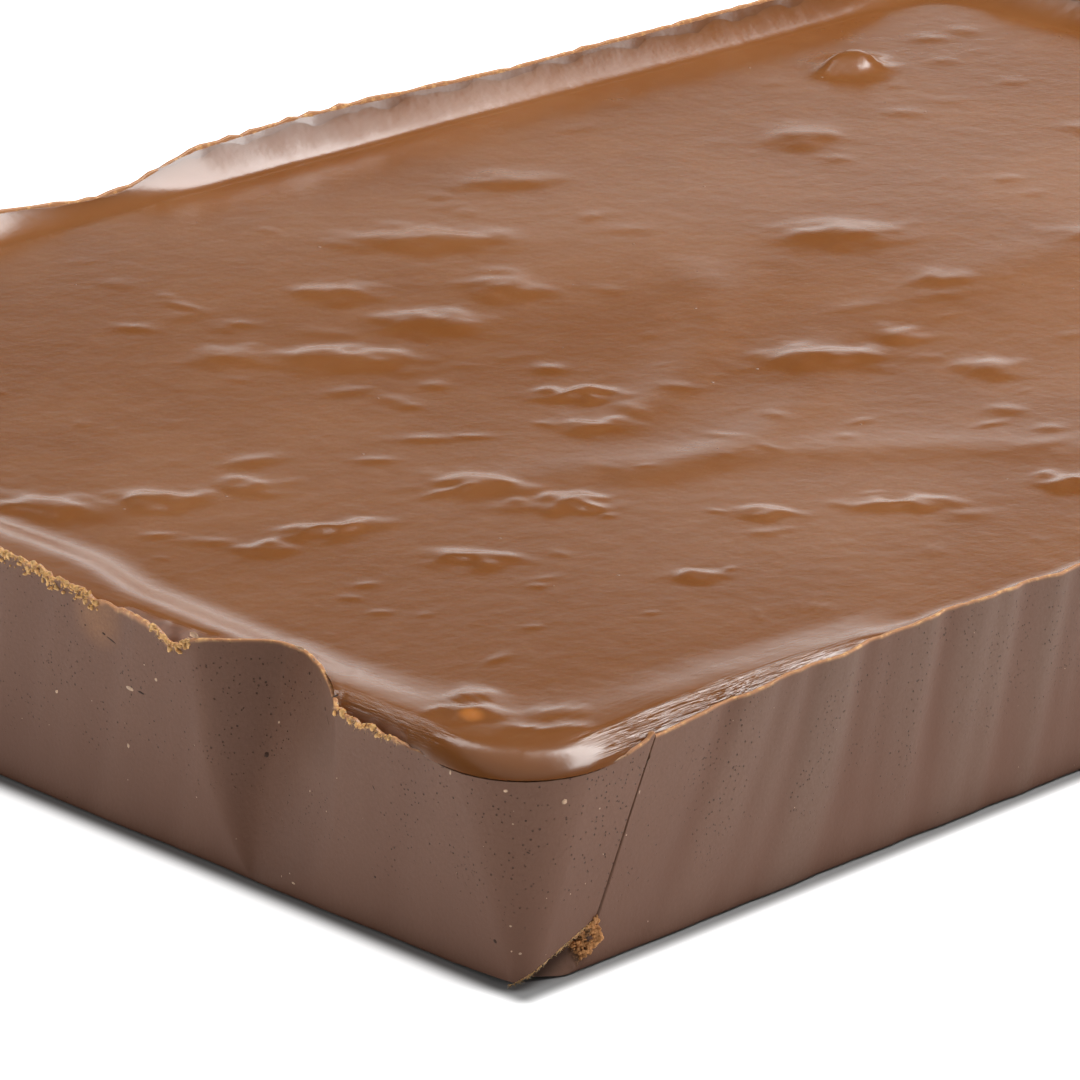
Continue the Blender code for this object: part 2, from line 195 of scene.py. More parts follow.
# Marks on the walls: distance round, height, half length and half width in mm, and heading in degrees
# PITS holds pits, drawn dark as painted shade, and short dark fibres
PITS = (
    (1067.4, 15.8, 0.50, 0.44, 0), (1072.7, 27.6, 0.35, 0.32, 0), (1104.6, 15.7, 0.20, 0.18, 0),
    (1114.5, 5.5, 0.45, 0.26, -15), (1.2, 17.3, 0.34, 0.11, -25), (0.5, 21.3, 0.20, 0.15, 0),
    (8.0, 21.0, 0.24, 0.20, 0), (17.5, 22.7, 0.18, 0.16, 0), (1092.5, 19.7, 0.38, 0.09, -50),
    (1092.6, 7.5, 0.20, 0.18, 0), (1042.4, 26.0, 2.6, 0.13, -17), (1041.0, 26.5, 0.5, 0.27, -17),
    (1080.6, 24.9, 2.1, 0.13, -20), (1079.2, 25.5, 0.45, 0.26, -20), (1048.1, 20.3, 1.2, 0.20, -8),
    (1085.4, 30.0, 0.9, 0.10, 30),
)
GRAINS = (
    (1116.0, 25.0, 0.36, 0.32, 0), (7.8, 23.3, 0.45, 0.36, 0), (13.6, 21.0, 0.16, 0.14, 0),
    (1117.5, 20.9, 0.14, 0.12, 0), (1117.2, 8.0, 0.20, 0.15, 0), (1117.4, 4.8, 0.15, 0.13, 0),
    (1119.1, 4.6, 0.24, 0.16, 20), (18.5, 16.0, 0.16, 0.14, 0), (8.6, 11.0, 0.14, 0.10, 0),
    (1106.5, 25.8, 0.42, 0.24, 75), (1078.8, 14.8, 0.20, 0.18, 0), (1083.5, 13.8, 0.16, 0.14, 0),
    (1077.5, 2.2, 0.40, 0.18, 0), (1046.2, 20.3, 0.90, 0.32, -8), (1031.1, 15.7, 0.45, 0.40, 0),
    (1051.2, 22.9, 0.32, 0.26, 0), (1045.4, 12.1, 0.42, 0.30, 90), (1068.4, 20.1, 0.28, 0.24, 0),
    (22.1, 25.0, 0.60, 0.09, 72), (20.8, 21.0, 0.35, 0.08, 72), (1050.2, 30.0, 0.20, 0.18, 0),
    (1069.2, 29.8, 1.0, 0.24, 5), (1073.2, 29.5, 0.5, 0.24, -25),
    (1085.9, 29.1, 0.18, 0.16, 0), (1087.4, 28.4, 0.16, 0.14, 0), (1058.7, 31.0, 0.60, 0.42, -20),
)

# Drawn marks: the span of their heights, how many pits and grains with the least and greatest half width,
# in mm, and how much of its own half thickness a mark stands out of the wall
MARK_HEIGHTS = (1, 26.5)
PIT_SPREAD = (150, 0.04, 0.13)
GRAIN_SPREAD = (170, 0.04, 0.11)
MARK_PROUD = 0.40

# Rounding of the base edge: height and inset in mm
BASE_ROUND = ((0.0, 0.5), (0.05, 0.3), (0.15, 0.14), (0.4, 0.03))
BASE_RING = 12 * MM

# Rows up the wall, in mm for a rim as high as the scale, and over the rim: share of its thickness and mm down
WALL_SPACING = ((0.7, 0.24), (8, 0.26), (11, 0.8), (25, 0.8), (27.5, 0.3), (29.7, 0.14))
WALL_SCALE = 30.0
RIM_SECTION = ((0.08, 0.03), (0.25, 0.0), (0.6, 0.0), (0.85, 0.06), (1.0, 0.22), (1.1, 0.9))

# Deck under the pour that closes the sides: share of the rim's thickness, and height in mm
DECK = ((1.2, 25.3), (2.6, 24.4))

# Rings across the poured edge in mm, how far its start stands proud of the wall without a fin and behind the
# wall with one, the tuck behind it, and its underside
TOP_RINGS = (
    0, 0.08, 0.2, 0.4, 0.7, 1.1, 1.6, 2.2, 2.9, 3.7, 4.6, 5.6, 6.7, 7.9, 9.2, 10.6, 12, 13.5, 15.1, 16.8,
    18.6, 20.4, 22.2,
)
TOP_PROUD = 0.14 * MM
TOP_BEHIND = 0.30 * MM
TOP_TUCK = (0.35 * MM, 0.25 * MM)
TOP_UNDERSIDE = 23.8 * MM

# Gap between columns round the slab, one line a side, and between the lines of the top's grid, in mm
SIDE_SPACING = (
    (
        (0, 0.22), (16, 0.25), (24, 0.4), (60, 0.55), (110, 0.7), (150, 2.2), (300, 2.2), (312, 1.2),
        (330, 1.2),
    ),
    ((0, 1.2), (18, 1.2), (30, 2.2), (200, 2.2), (212, 1.2), (230, 1.2)),
    ((0, 1.2), (18, 1.2), (30, 2.2), (300, 2.2), (312, 1.2), (330, 1.2)),
    (
        (0, 1.2), (18, 1.2), (30, 2.2), (90, 2.2), (120, 0.7), (150, 0.45), (206, 0.4), (220, 0.25),
        (230, 0.22),
    ),
)
TOP_SPACING_X = ((0, 0.63), (100, 0.76), (150, 1.4), (230, 2.1), (310, 2.3), (330, 1.5))
TOP_SPACING_Y = ((0, 0.63), (100, 0.76), (150, 1.4), (212, 2.0), (230, 1.5))

# Where the pour is torn open beside the rim: first and last distance round, and how far in, in mm
TORN = ((1041, 1061, 4.6), (1086, 1099, 1.8))

# Where the rim is torn into flakes: first and last distance round, how many, and their longest length, in mm
FRINGES = ((1019, 1040, 200, 0.9), (1050, 1058.5, 150, 1.2), (1085, 1097, 210, 1.2), (36, 104, 90, 0.4))

# How many flakes hang along the chip's upper edge, and how many crumbs lie in it
CHIP_FLAKES = 260
CHIP_CRUMBS = 620

# Where crumbs hang from the rim: first and last distance round, how many, and how far down, in mm
RIM_CRUMBS = ((1019, 1040, 300, 1.7), (1050, 1058, 90, 0.9), (1085, 1096, 60, 0.6))

# Camera, from the near corner: its place in metres, and how far it looks down and to the side in degrees
CAMERA_PLACE = (-0.48783, -0.49838, 0.31056)
CAMERA_DOWN = 19.77
CAMERA_ASIDE = 44.55
SENSOR_WIDTH = 36.0

# Lights: name, direction, distance, size, the setting of their radiance, and whether they make highlights.
# Those that do are aimed at the near corner, and the others at the middle of the slab.
LIGHTS = (
    ("soft_box_right", (0.555, -0.105, 0.825), 0.94, (0.85, 0.42), "box_right", True),
    ("soft_box_low", (0.767, -0.097, 0.633), 0.93, (0.62, 0.17), "box_low", True),
    ("soft_box_back", (0.25, 0.62, 0.76), 1.0, (0.32, 0.25), "box_back", True),
    ("left_wall", (-0.80, 0.52, 0.36), 1.3, (0.9, 0.5), "wall_left", False),
    ("right_wall", (0.45, -0.84, 0.36), 1.3, (0.9, 0.5), "wall_right", False),
)

# Floor: radius and sides of the disc, how far the painted contact shadow round the slab reaches, where the
# floor's own glow begins and is full, and the grey of the painted shadow and the floor's own grey
FLOOR_RADIUS = 6.0
FLOOR_SIDES = 64
FLOOR_SHADE = 3.4 * MM
FLOOR_GLOW_FROM = (0.1 * MM, 4.4 * MM)
FLOOR_GREYS = (0.30, 0.72)


# ---- Curves and noise ----


def ease(t):
    """A step from 0 to 1 with level ends: 3t^2 - 2t^3."""
    t = np.clip(t, 0.0, 1.0)
    return t * t * (3.0 - 2.0 * t)


def follow(points, distance):
    """Read (distance, value) pairs, both in mm, with an eased step from each value to the next."""
    at = np.array([p[0] for p in points], float)
    value = np.array([p[1] for p in points], float)
    where = distance / MM
    k = np.clip(np.searchsorted(at, where, side="right") - 1, 0, len(at) - 2)
    t = (where - at[k]) / (at[k + 1] - at[k])
    return value[k] + (value[k + 1] - value[k]) * ease(t)


def graded(spacing):
    """Positions from the first to the last mark, with gaps that follow the spacing between the marks."""
    at = np.array([p[0] for p in spacing], float)
    gap = np.array([p[1] for p in spacing], float)
    fine = np.linspace(at[0], at[-1], 4000)
    count = np.concatenate(([0.0], np.cumsum(np.diff(fine) / np.interp(fine[1:], at, gap))))
    return np.interp(np.linspace(0.0, count[-1], int(round(count[-1])) + 1), count, fine) * MM


def ripple(x, y, size, seed, count=7):
    """Smooth noise in a plane: plane waves of about one size, with drawn directions and phases, averaged."""
    draw = np.random.default_rng(seed)
    total = np.zeros(np.broadcast(x, y).shape)
    for turn, phase, stretch in zip(
        draw.uniform(0, np.pi, count), draw.uniform(0, 2 * np.pi, count), draw.uniform(0.6, 1.6, count)
    ):
        total += np.sin(2 * np.pi * (x * np.cos(turn) + y * np.sin(turn)) / (size * stretch) + phase)
    return total / np.sqrt(count)


def lattice(cell, seed):
    """A drawn number from 0 to 1 for each cell: the fraction of a large sine."""
    wave = np.sin(cell @ np.array((127.1, 311.7, 74.7)) + seed * 53.3) * 43758.5453
    return wave - np.floor(wave)


def grain(points, size, seed):
    """Rough noise in space, -1 to 1: drawn numbers on a cubic lattice, blended with eased steps."""
    place = points / size
    cell = np.floor(place)
    part = ease(place - cell)
    total = np.zeros(len(points))
    for corner in np.ndindex(2, 2, 2):
        side = np.array(corner)
        weight = np.prod(np.where(side == 1, part, 1.0 - part), axis=1)
        total += weight * lattice(cell + side, seed)
    return 2.0 * total - 1.0


def grain_along(distance, size, seed):
    """Rough noise along a line, -1 to 1."""
    return grain(np.column_stack((distance, 0 * distance, 0 * distance)), size, seed)


def unit(vectors):
    """The rows of an array, each made one unit long."""
    return vectors / np.maximum(np.linalg.norm(vectors, axis=1), 1e-9)[:, None]


def turned(x, y, heading):
    """Coordinates along and across a heading in degrees."""
    turn = heading * DEGREE
    return x * np.cos(turn) + y * np.sin(turn), y * np.cos(turn) - x * np.sin(turn)


# ---- The slab's form ----


def side_starts(sizes):
    """Distance round to the start of each side: front, right, back and left."""
    return np.cumsum((0.0, sizes.length, sizes.width, sizes.length))


class Round:
    """Places round the slab, by their distance round: their side, the distance along it and its length."""

    def __init__(self, sizes, distance):
        self.distance = distance
        self.half = np.array((sizes.length, sizes.width)) / 2
        start = side_starts(sizes)
        self.side = np.clip(np.searchsorted(start, distance, side="right") - 1, 0, 3)
        self.along = distance - start[self.side]
        self.length = np.where(self.side % 2 == 0, sizes.length, sizes.width)

    def rectangle(self, along, inset, radius):
        """Plan point and outward direction on a rectangle, inset and with its corners rounded to a radius."""
        start = self.half * np.array(((-1, -1), (1, -1), (1, 1), (-1, 1)), float)
        run = np.array(((1, 0), (0, 1), (-1, 0), (0, -1)), float)
        square = (start[self.side] + run[self.side] * along[:, None]) * (self.half - inset) / self.half
        core = np.clip(square, radius[:, None] - self.half + inset, self.half - inset - radius[:, None])
        out = unit(square - core)
        return core + out * radius[:, None], out


def round_of(sizes, lines):
    """Places round the slab, from the distances along each side."""
    return Round(sizes, np.concatenate([start + line for start, line in zip(side_starts(sizes), lines)]))


def crease_at(height):
    """Distance from the corner to the crease at a height."""
    return CREASE_BASE + (CREASE_TOP - CREASE_BASE) * height / CREASE_HEIGHT


def stretched(along, old, new):
    """Distances along a side, stretched near its start so that the crease moves from old to new."""
    outer = new + (along - old) * (CREASE_REACH - new) / (CREASE_REACH - old)
    past = np.where(along < CREASE_REACH, outer, along)
    return np.where(along < old, along * new / old, past)


def flute_depth(distance, height):
    """Depth of the flutes, hollows that open upwards from an apex on the base and get evenly deeper.

    The width of a flank grows as 1 - exp(-height / opening). Across, a flute is half a cosine wave down to
    its valley, then a cosine wave low down, or a parabola near the rim, up to its other edge.
    """
    depth = np.zeros(len(distance))
    height = np.maximum(height, 1e-3 * MM)
    rise = height / FLUTE_TOP
    near, far = (1.0 - np.exp(-height / opening) for opening in FLUTE_OPENING)
    near_power, far_power = FLUTE_POWERS
    sharpen_from, sharpen_over = FLUTE_SHARPENS
    for start, valley, end, apex, deepest in FLUTES:
        across = distance / MM - apex - (valley - apex) * rise
        before = across / ((start - valley) * near)
        after = np.clip(across / ((end - valley) * far), 0.0, 1.0)
        bell = (0.5 + 0.5 * np.cos(np.pi * np.clip(before, 0.0, 1.0))) ** near_power
        sharp = 1.0 - after**2
        soft = (0.5 + 0.5 * np.cos(np.pi * after)) ** far_power
        bowl = soft + (sharp - soft) * ease((height / MM - sharpen_from) / sharpen_over)
        depth += deepest * MM * rise * np.where(before > 0.0, bell, bowl)
    return depth


def pleat_wave(ring, height):
    """Pleats along the wall, -1 to 1: cosines of a distance that leans with height, faded at the corners."""
    clear = ease((ring.along - CREASE_TOP) / (20 * MM)) * ease((ring.length - ring.along) / (30 * MM))
    leaned = ring.along - PLEAT_LEAN * height
    wave = sum(share * np.cos(2 * np.pi * leaned / (pitch * MM) + phase) for pitch, share, phase in PLEATS)
    return clear * wave * follow(PLEAT_STRENGTH, ring.distance)


def crease_groove(ring):
    """Share of the groove's depth at each crease: it drops at the crease and eases out by 0.6 mm past it."""
    past = (ring.along - CREASE_TOP) / MM
    return ease((past + 0.02) / 0.06) * ease((0.60 - past) / 0.30)


def torn_open(distance, inward):
    """Share of tearing, 0 to 1: full in the torn stretches, eased over 3 mm along and 1.2 mm inwards."""
    share = np.zeros(np.broadcast(distance, inward).shape)
    for first, last, reach in TORN:
        along = ease((distance / MM - first) / 3.0) * ease((last - distance / MM) / 3.0)
        share = share + along * ease((reach - inward / MM) / 1.2)
    return share


def outward_normals(face):
    """Outward directions of a closed line of plan points, from the points two before and two after each."""
    tangent = unit(np.roll(face, -2, axis=0) - np.roll(face, 2, axis=0))
    return np.column_stack((tangent[:, 1], -tangent[:, 0]))


def wall(sizes, ring, height):
    """Plan points and outward directions of the outer wall at a height.

    The rectangle's corners open from a small radius at the base to a large one at the rim. Added to it are
    the step at each crease with the groove beside it, the pleats, a slight bow, and the flutes.
    """
    share = np.clip(height / CREASE_HEIGHT, 0.0, 1.0)
    radius = sizes.corner_base + (sizes.corner_top - sizes.corner_base) * share
    point, out = ring.rectangle(stretched(ring.along, CREASE_TOP, crease_at(height)), 0.0, radius)
    from_crease = ring.along - CREASE_TOP
    step = np.where(from_crease < 0.0, CREASE_STEP * ease(ring.along / CREASE_TOP), 0.0)
    groove = CREASE_GROOVE * crease_groove(ring)
    pleat = PLEAT_DEPTH * pleat_wave(ring, height) * (0.3 + 0.7 * share)
    corner = ease(ring.along / (12 * MM)) * ease((ring.length - ring.along) / (12 * MM))
    soft = 0.10 * MM * corner * ripple(ring.distance, height, 31 * MM, 3)
    offset = (step - groove) * share**0.5 - pleat + soft - flute_depth(ring.distance, height)
    return point + out * (offset - WALL_INSET)[:, None], out


def rim_height(ring):
    """Height of the rim's edge, with nicks, and with the flap's small tip at the near crease."""
    nick = follow(NICKS, ring.distance) * MM
    layers = ((1.0, 2.3 * MM, 11), (0.7, 0.9 * MM, 12), (0.5, 0.4 * MM, 13))
    rough = sum(share * grain_along(ring.distance, size, seed) for share, size, seed in layers)
    tip = 0.75 * MM * np.exp(-(((ring.distance - CREASE_TOP + 0.25 * MM) / (0.55 * MM)) ** 2))
    return follow(RIM, ring.distance) * MM + nick * (rough - 0.4) + tip


def fin_share(rim):
    """How much of the rim is a thin fin above the pour, 0 to 1, by its height."""
    return ease((rim - FIN_FROM) / FIN_OVER)


def chip_corners(sizes):
    """The corners of the chip's mouth and its deepest point."""
    corner = np.array((-sizes.length / 2, -sizes.width / 2, 0.0))
    return np.array(CHIP_MOUTH) * MM + corner, np.array(CHIP_DEEPEST) * MM + corner


def chip_planes(sizes):
    """A point and the normals of the chip's four faces, each through one edge of the mouth."""
    mouth, deepest = chip_corners(sizes)
    return deepest, np.cross(mouth - deepest, np.roll(mouth, -1, axis=0) - deepest)


def chip_depth(sizes, points):
    """How far each point of the skin is pushed into the chip, the direction, and how crumbly it is there.

    The chip is a four-sided point. The way in from the skin leaves it at the nearest of its faces, so the
    depth is the least of the four distances, or zero outside the mouth. The two faces on the right are all
    crumbs, and the other two are smooth.
    """
    deepest, normals = chip_planes(sizes)
    inward = np.array(CHIP_WAY_IN)
    ragged = 0.30 * MM * grain(points, 1.1 * MM, 5) + 0.22 * MM * grain(points, 0.45 * MM, 6)
    over, upper_right, lower_right, foot = (((deepest - points) @ n) / (inward @ n) for n in normals)
    right = np.minimum(upper_right, lower_right)
    near_edge = 1.0 - ease(over / (0.7 * MM))
    depth = np.minimum(np.minimum(over + 0.6 * ragged * near_edge, foot), right + 1.3 * ragged)
    inside = ease(depth / (0.25 * MM))
    crumb = inside * ease((np.minimum(over, foot) - right) / (0.3 * MM) + 0.2)
    lumpy = 0.45 * MM * grain(points, 0.8 * MM, 8) + 0.2 * MM * grain(points, 0.4 * MM, 9)
    return np.maximum(depth, 0.0) + inside * crumb * lumpy, inward, inside, crumb


def base_lift(points):
    """Height of the base where it is broken away at the corner: a plane that falls away from the corner."""
    x = (points[:, 0] - SLAB_LOW.x) / BASE_LIFT_REACH[0]
    y = (points[:, 1] - SLAB_LOW.y) / BASE_LIFT_REACH[1]
    return BASE_LIFT * np.clip(1.0 - x - y, 0.0, None)


def poured(x, y):
    """Height of the slow forms of the poured surface over the basin's level, in metres.

    Slow waves, a rise towards the near corner, and spatula swirls with a bell section.
    """
    z = WAVE_HEIGHT * (
        np.sin(x / 0.031 + 1.7 * np.sin(y / 0.047)) * 0.5 + np.sin(y / 0.023 + 1.3 * np.sin(x / 0.039)) * 0.5
    )
    to_corner = np.hypot((x - SLAB_LOW.x) / CORNER_REACH[0], (y - SLAB_LOW.y) / CORNER_REACH[1])
    z = z + CORNER_RISE * np.exp(-to_corner * to_corner)
    for cx, cy, radius, first, last, width, height in SWIRLS:
        dx = x - cx * MM
        dy = y - cy * MM
        bearing = np.arctan2(dy, dx) / DEGREE
        ends = ease((bearing - first) / 10) * ease((last - bearing) / 10)
        across = (np.hypot(dx, dy) - radius * MM) / (width * MM)
        z = z + height * MM * ends * np.exp(-across * across)
    return z


def lumps(x, y):
    """Height of the lumps in metres: flat-topped domes with uneven outlines."""
    z = np.zeros(x.shape)
    warp_x = x + LUMP_WARP * ripple(x, y, 7 * MM, 21)
    warp_y = y + LUMP_WARP * ripple(x, y, 7 * MM, 22)
    for cx, cy, half_length, half_width, height, heading in LUMPS:
        u, v = turned(warp_x - cx * MM, warp_y - cy * MM, heading)
        u = u / (half_length * MM)
        v = v / (half_width * MM)
        z = z + LUMP_SHARE * height * MM * np.exp(-((u * u + v * v) ** LUMP_POWER))
    return z


def blisters(x, y, sizes):
    """Many small long domes in drawn places, in metres: each adds height only within three of its lengths."""
    draw = np.random.default_rng(BLISTER_SEED)
    z = np.zeros(x.shape)
    for _ in range(BLISTERS):
        cx = draw.uniform(-0.5, 0.5) * (sizes.length - 0.03)
        cy = draw.uniform(-0.5, 0.5) * (sizes.width - 0.03)
        heading = draw.normal(-44.0, 30.0)
        half_width = draw.uniform(0.4, 1.0) ** 2 * 2.0 * MM
        half_length = half_width * draw.uniform(1.0, 2.6)
        height = draw.uniform(0.04, 0.16) * half_width
        near = (np.abs(x - cx) < 3 * half_length) & (np.abs(y - cy) < 3 * half_length)
        u, v = turned(x[near] - cx, y[near] - cy, heading)
        z[near] += height * np.exp(-((u / half_length) ** 2) - (v / half_width) ** 2)
    return z


# ---- Meshes ----


def make_piece(name, vertices, quads, triangles, material, masks=None):
    """A mesh object at the origin from arrays of vertices, quads and triangles, with masks for the vertices.

    Edges where faces meet at more than 50 degrees stay sharp.
    """
    mesh = bpy.data.meshes.new(name)
    mesh.from_pydata(vertices.tolist(), [], quads.tolist() + triangles.tolist())
    mesh.validate()
    for key, values in (masks or {}).items():
        layer = mesh.attributes.new(key, "FLOAT", "POINT")
        layer.data.foreach_set("value", np.asarray(values, np.float32).ravel())
    mesh.shade_smooth()
    mesh.set_sharp_from_angle(angle=SHARP_ANGLE)
    mesh.materials.append(material)
    piece = bpy.data.objects.new(name, mesh)
    bpy.context.scene.collection.objects.link(piece)
    return piece


def slab_piece(name, vertices, quads, triangles, material, masks=None):
    """A mesh object tied to the slab's body and to its material slot."""
    piece = make_piece(name, vertices, quads, triangles, material, masks)
    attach(piece, BODY)
    return piece


def ring_quads(rings, count, first=0):
    """Quads between rings of points that are laid out one after the other, lowest ring first."""
    low = first + np.arange(rings - 1)[:, None] * count
    k = np.arange(count)[None, :]
    n = (k + 1) % count
    return np.stack((low + k, low + n, low + count + n, low + count + k), axis=-1).reshape(-1, 4)


def fan(centre, ring, flipped=False):
    """Triangles from a centre to a closed ring of points."""
    after = np.roll(ring, -1)
    middle = np.full(len(ring), centre)
    pair = (after, ring) if flipped else (ring, after)
    return np.column_stack((middle, *pair))


def poured_edge(sizes, ring, rim, depth, level):
    """Height of the poured surface at a depth inside the wall, over the basin's level.

    Where there is a crest, it rises as most of a quarter of an ellipse to the crest, runs level, and eases
    down into the basin in two steps. Elsewhere it slopes down from the rim as a power of the way left.
    """
    shoulder = follow(SHOULDER, ring.distance) * MM
    drop = follow(DROP, ring.distance) * MM
    crest = follow(CREST_HEIGHT, ring.distance) * MM
    amount = follow(CREST, ring.distance)
    q = np.clip(1.0 - depth / shoulder, 0.0, 1.0) * SHOULDER_PART
    fall = (1.0 - np.sqrt(1.0 - q * q)) / (1.0 - np.sqrt(1.0 - SHOULDER_PART**2))
    up = crest - (crest - sizes.lip_height) * fall
    length = follow(DROP_LENGTH, ring.distance) * MM
    first = ease((depth - drop) / length + DROP_AHEAD)
    second = ease((depth - drop - SECOND_DROP) / length + DROP_AHEAD)
    down = FIRST_SHARE * first + (1.0 - FIRST_SHARE) * second
    crested = up + (level - up) * down
    width = follow(SLOPE_WIDTH, ring.distance) * MM
    hung = level + (rim - SLOPE_BELOW_RIM - level) * np.clip(1.0 - depth / width, 0.0, 1.0) ** SLOPE_POWER
    return hung + (crested - hung) * amount


def build_sides(sizes, material):
    """The moulded sides: base, wall, thin rim, and a deck under the poured top that closes the skin."""
    beside = np.array(CREASE_EDGES) * MM + CREASE_TOP
    ring = round_of(sizes, [np.union1d(graded(spacing)[:-1], beside) for spacing in SIDE_SPACING])
    count = len(ring.along)
    rim = rim_height(ring)
    fin = fin_share(rim)
    none = np.zeros(count)
    rough = ease(grain_along(ring.distance, 1.7 * MM, 17) + 0.5)
    # How far down from the rim the painted glow of the thin rim reaches: wider where the rim is nicked
    torn = (0.4 + 1.6 * follow(NICKS, ring.distance) * rough) * MM
    foot, _ = ring.rectangle(ring.along, BASE_RING, np.full(count, 1 * MM))
    rings = [np.column_stack((foot, none))]
    # Share of the painted glow of light through the thin rim, ring by ring
    edge = [none]
    for lift, inset in BASE_ROUND:
        height = np.full(count, lift * MM)
        point, out = wall(sizes, ring, height)
        rings.append(np.column_stack((point - out * inset * MM, height)))
        edge.append(none)
    for level in graded(WALL_SPACING) / (WALL_SCALE * MM):
        height = rim * level
        point, out = wall(sizes, ring, height)
        rings.append(np.column_stack((point, height)))
        edge.append(ease(1.0 - (rim - height) / torn) * fin)
    face = rings[-1][:, :2]
    inward = -outward_normals(face) * sizes.rim_thickness
    for across, below in RIM_SECTION:
        rings.append(np.column_stack((face + inward * across, rim - (below + 0.3 * (1.0 - fin)) * MM)))
        edge.append(fin)
    for across, level in DECK:
        rings.append(np.column_stack((face + inward * across, np.full(count, level * MM))))
        edge.append(none)
    skin = np.vstack(rings)
    skin[:, 2] = np.maximum(skin[:, 2], base_lift(skin))
    depth, way_in, broken, crumb = chip_depth(sizes, skin)
    vertices = np.vstack((skin + way_in * depth[:, None], ((0, 0, 0), (0, 0, DECK[-1][1] * MM))))
    last = len(skin)
    triangles = np.vstack((
        fan(last, np.arange(count), flipped=True),
        fan(last + 1, np.arange(count) + count * (len(rings) - 1)),
    ))
    heights = skin[:, 2].reshape(len(rings), count)
    masks = {
        "edge": np.concatenate(edge),
        "crumb": crumb,
        "broken": broken,
        # Painted shade deep in the chip
        "deep": ease((depth - 0.5 * MM) / (1.6 * MM)),
        # The pleat wave, for painted shade in the pleats' hollows and a lighter bloom on their ridges
        "pleat": np.concatenate([pleat_wave(ring, height) for height in heights]),
        # Painted shade in the crease's groove, fading out near the base
        "groove": np.tile(crease_groove(ring), len(rings)) * ease(skin[:, 2] / (4 * MM)),
    }
    masks = {key: np.append(values, (0, 0)) for key, values in masks.items()}
    piece = slab_piece("moulded_sides", vertices, ring_quads(len(rings), count), triangles, material, masks)
    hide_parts(NODE)
    return piece


def poured_rings(sizes, ring):
    """Rings over the poured edge, from its underside to the basin, how much painted shade each gets at the
    lip, and how torn they are.
    """
    count = len(ring.along)
    rim = follow(RIM, ring.distance) * MM
    fin = fin_share(rim)
    face, _ = wall(sizes, ring, rim)
    out = outward_normals(face)
    inner, _ = ring.rectangle(ring.along, sizes.basin_inset, np.full(count, sizes.basin_corner))
    flute = flute_depth(ring.distance, rim)
    start = face + out * ((1.0 - fin) * TOP_PROUD - fin * TOP_BEHIND)[:, None]
    smooth = sum(np.roll(start, k, axis=0) for k in range(-3, 4)) / 7
    rings = []
    thin = []
    torn = []
    for inward in np.array(TOP_RINGS) * MM:
        share = inward / sizes.basin_inset
        plan = smooth + (start - smooth) * np.exp(-inward / (0.5 * MM)) + (inner - smooth) * share
        depth = np.where(flute > 0.1 * MM, inward + flute * (1.0 - share), inward)
        level = sizes.basin_height + poured(plan[:, 0], plan[:, 1])
        height = poured_edge(sizes, ring, rim, depth, level)
        height = height + lumps(plan[:, 0], plan[:, 1]) * ease((inward - 2 * MM) / (4 * MM))
        torn.append(torn_open(ring.distance, inward))
        crag = grain(np.column_stack((plan, np.zeros(count))), 1.6 * MM, 61)
        rings.append(np.column_stack((plan, height + torn[-1] * (0.45 * crag - 0.35) * MM)))
        # Painted shade at the lip: most at the wall, fading within about 1.6 mm
        thin.append(np.full(count, np.exp(-inward / (1.6 * MM))))
    tuck_in, tuck_down = TOP_TUCK
    tucked = np.column_stack((start - out * tuck_in, rings[0][:, 2] - tuck_down))
    under = np.column_stack((start + (inner - start) * 0.2, np.full(count, TOP_UNDERSIDE)))
    return [under, tucked] + rings, inner, [thin[0]] * 2 + thin, [torn[0]] * 2 + torn


def basin_grid(sizes, xs, ys, first):
    """Plan points of a grid inside the basin, and the quads that join it to the ring round its border.

    first is the index of that ring's first point, at the near corner. The grid's points follow the ring's.
    """
    grid_x, grid_y = np.meshgrid(
        (xs - sizes.length / 2) * (1 - 2 * sizes.basin_inset / sizes.length),
        (ys - sizes.width / 2) * (1 - 2 * sizes.basin_inset / sizes.width),
        indexing="ij",
    )
    index = np.zeros(grid_x.shape, int)
    for line in (index[:-1, 0], index[-1, :-1], index[:0:-1, -1], index[0, :0:-1]):
        line[:] = first + np.arange(len(line))
        first += len(line)
    inside = index[1:-1, 1:-1]
    inside[:] = first + np.arange(inside.size).reshape(inside.shape)
    quads = np.stack((index[:-1, :-1], index[1:, :-1], index[1:, 1:], index[:-1, 1:]), axis=-1).reshape(-1, 4)
    return np.column_stack((grid_x[1:-1, 1:-1].ravel(), grid_y[1:-1, 1:-1].ravel())), quads


def build_top(sizes, material):
    """The poured top: rings over the edge and across its crest, a grid over the basin, and an underside."""
    xs = graded(TOP_SPACING_X) * sizes.length / (330 * MM)
    ys = graded(TOP_SPACING_Y) * sizes.width / (230 * MM)
    ring = round_of(sizes, (xs[:-1], ys[:-1], sizes.length - xs[:0:-1], sizes.width - ys[:0:-1]))
    count = len(ring.along)
    rings, inner, thin, torn = poured_rings(sizes, ring)
    inside, grid_quads = basin_grid(sizes, xs, ys, count * len(rings))
    plan = np.vstack((inner, inside))
    basin = np.column_stack((plan, sizes.basin_height + poured(*plan.T) + lumps(*plan.T)))
    skin = np.vstack(rings + [basin])
    far_in = np.concatenate((np.repeat(np.array((0, 0, *TOP_RINGS)), count), np.full(len(basin), 20.0)))
    skin[:, 2] += blisters(skin[:, 0], skin[:, 1], sizes) * ease(far_in / 6.0)
    vertices = np.vstack((skin, ((0, 0, TOP_UNDERSIDE),)))
    quads = np.vstack((ring_quads(len(rings) + 1, count), grid_quads))
    triangles = fan(len(skin), np.arange(count), flipped=True)
    none = np.zeros(len(basin) + 1)
    masks = {
        "thin": np.concatenate((*thin, none)),
        "inward": np.append(far_in / 20.0, 0),
        "torn": np.concatenate((*torn, none)),
    }
    piece = slab_piece("poured_top", vertices, quads, triangles, material, masks)
    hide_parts(NODE)
    return piece


# ---- Shader graphs ----


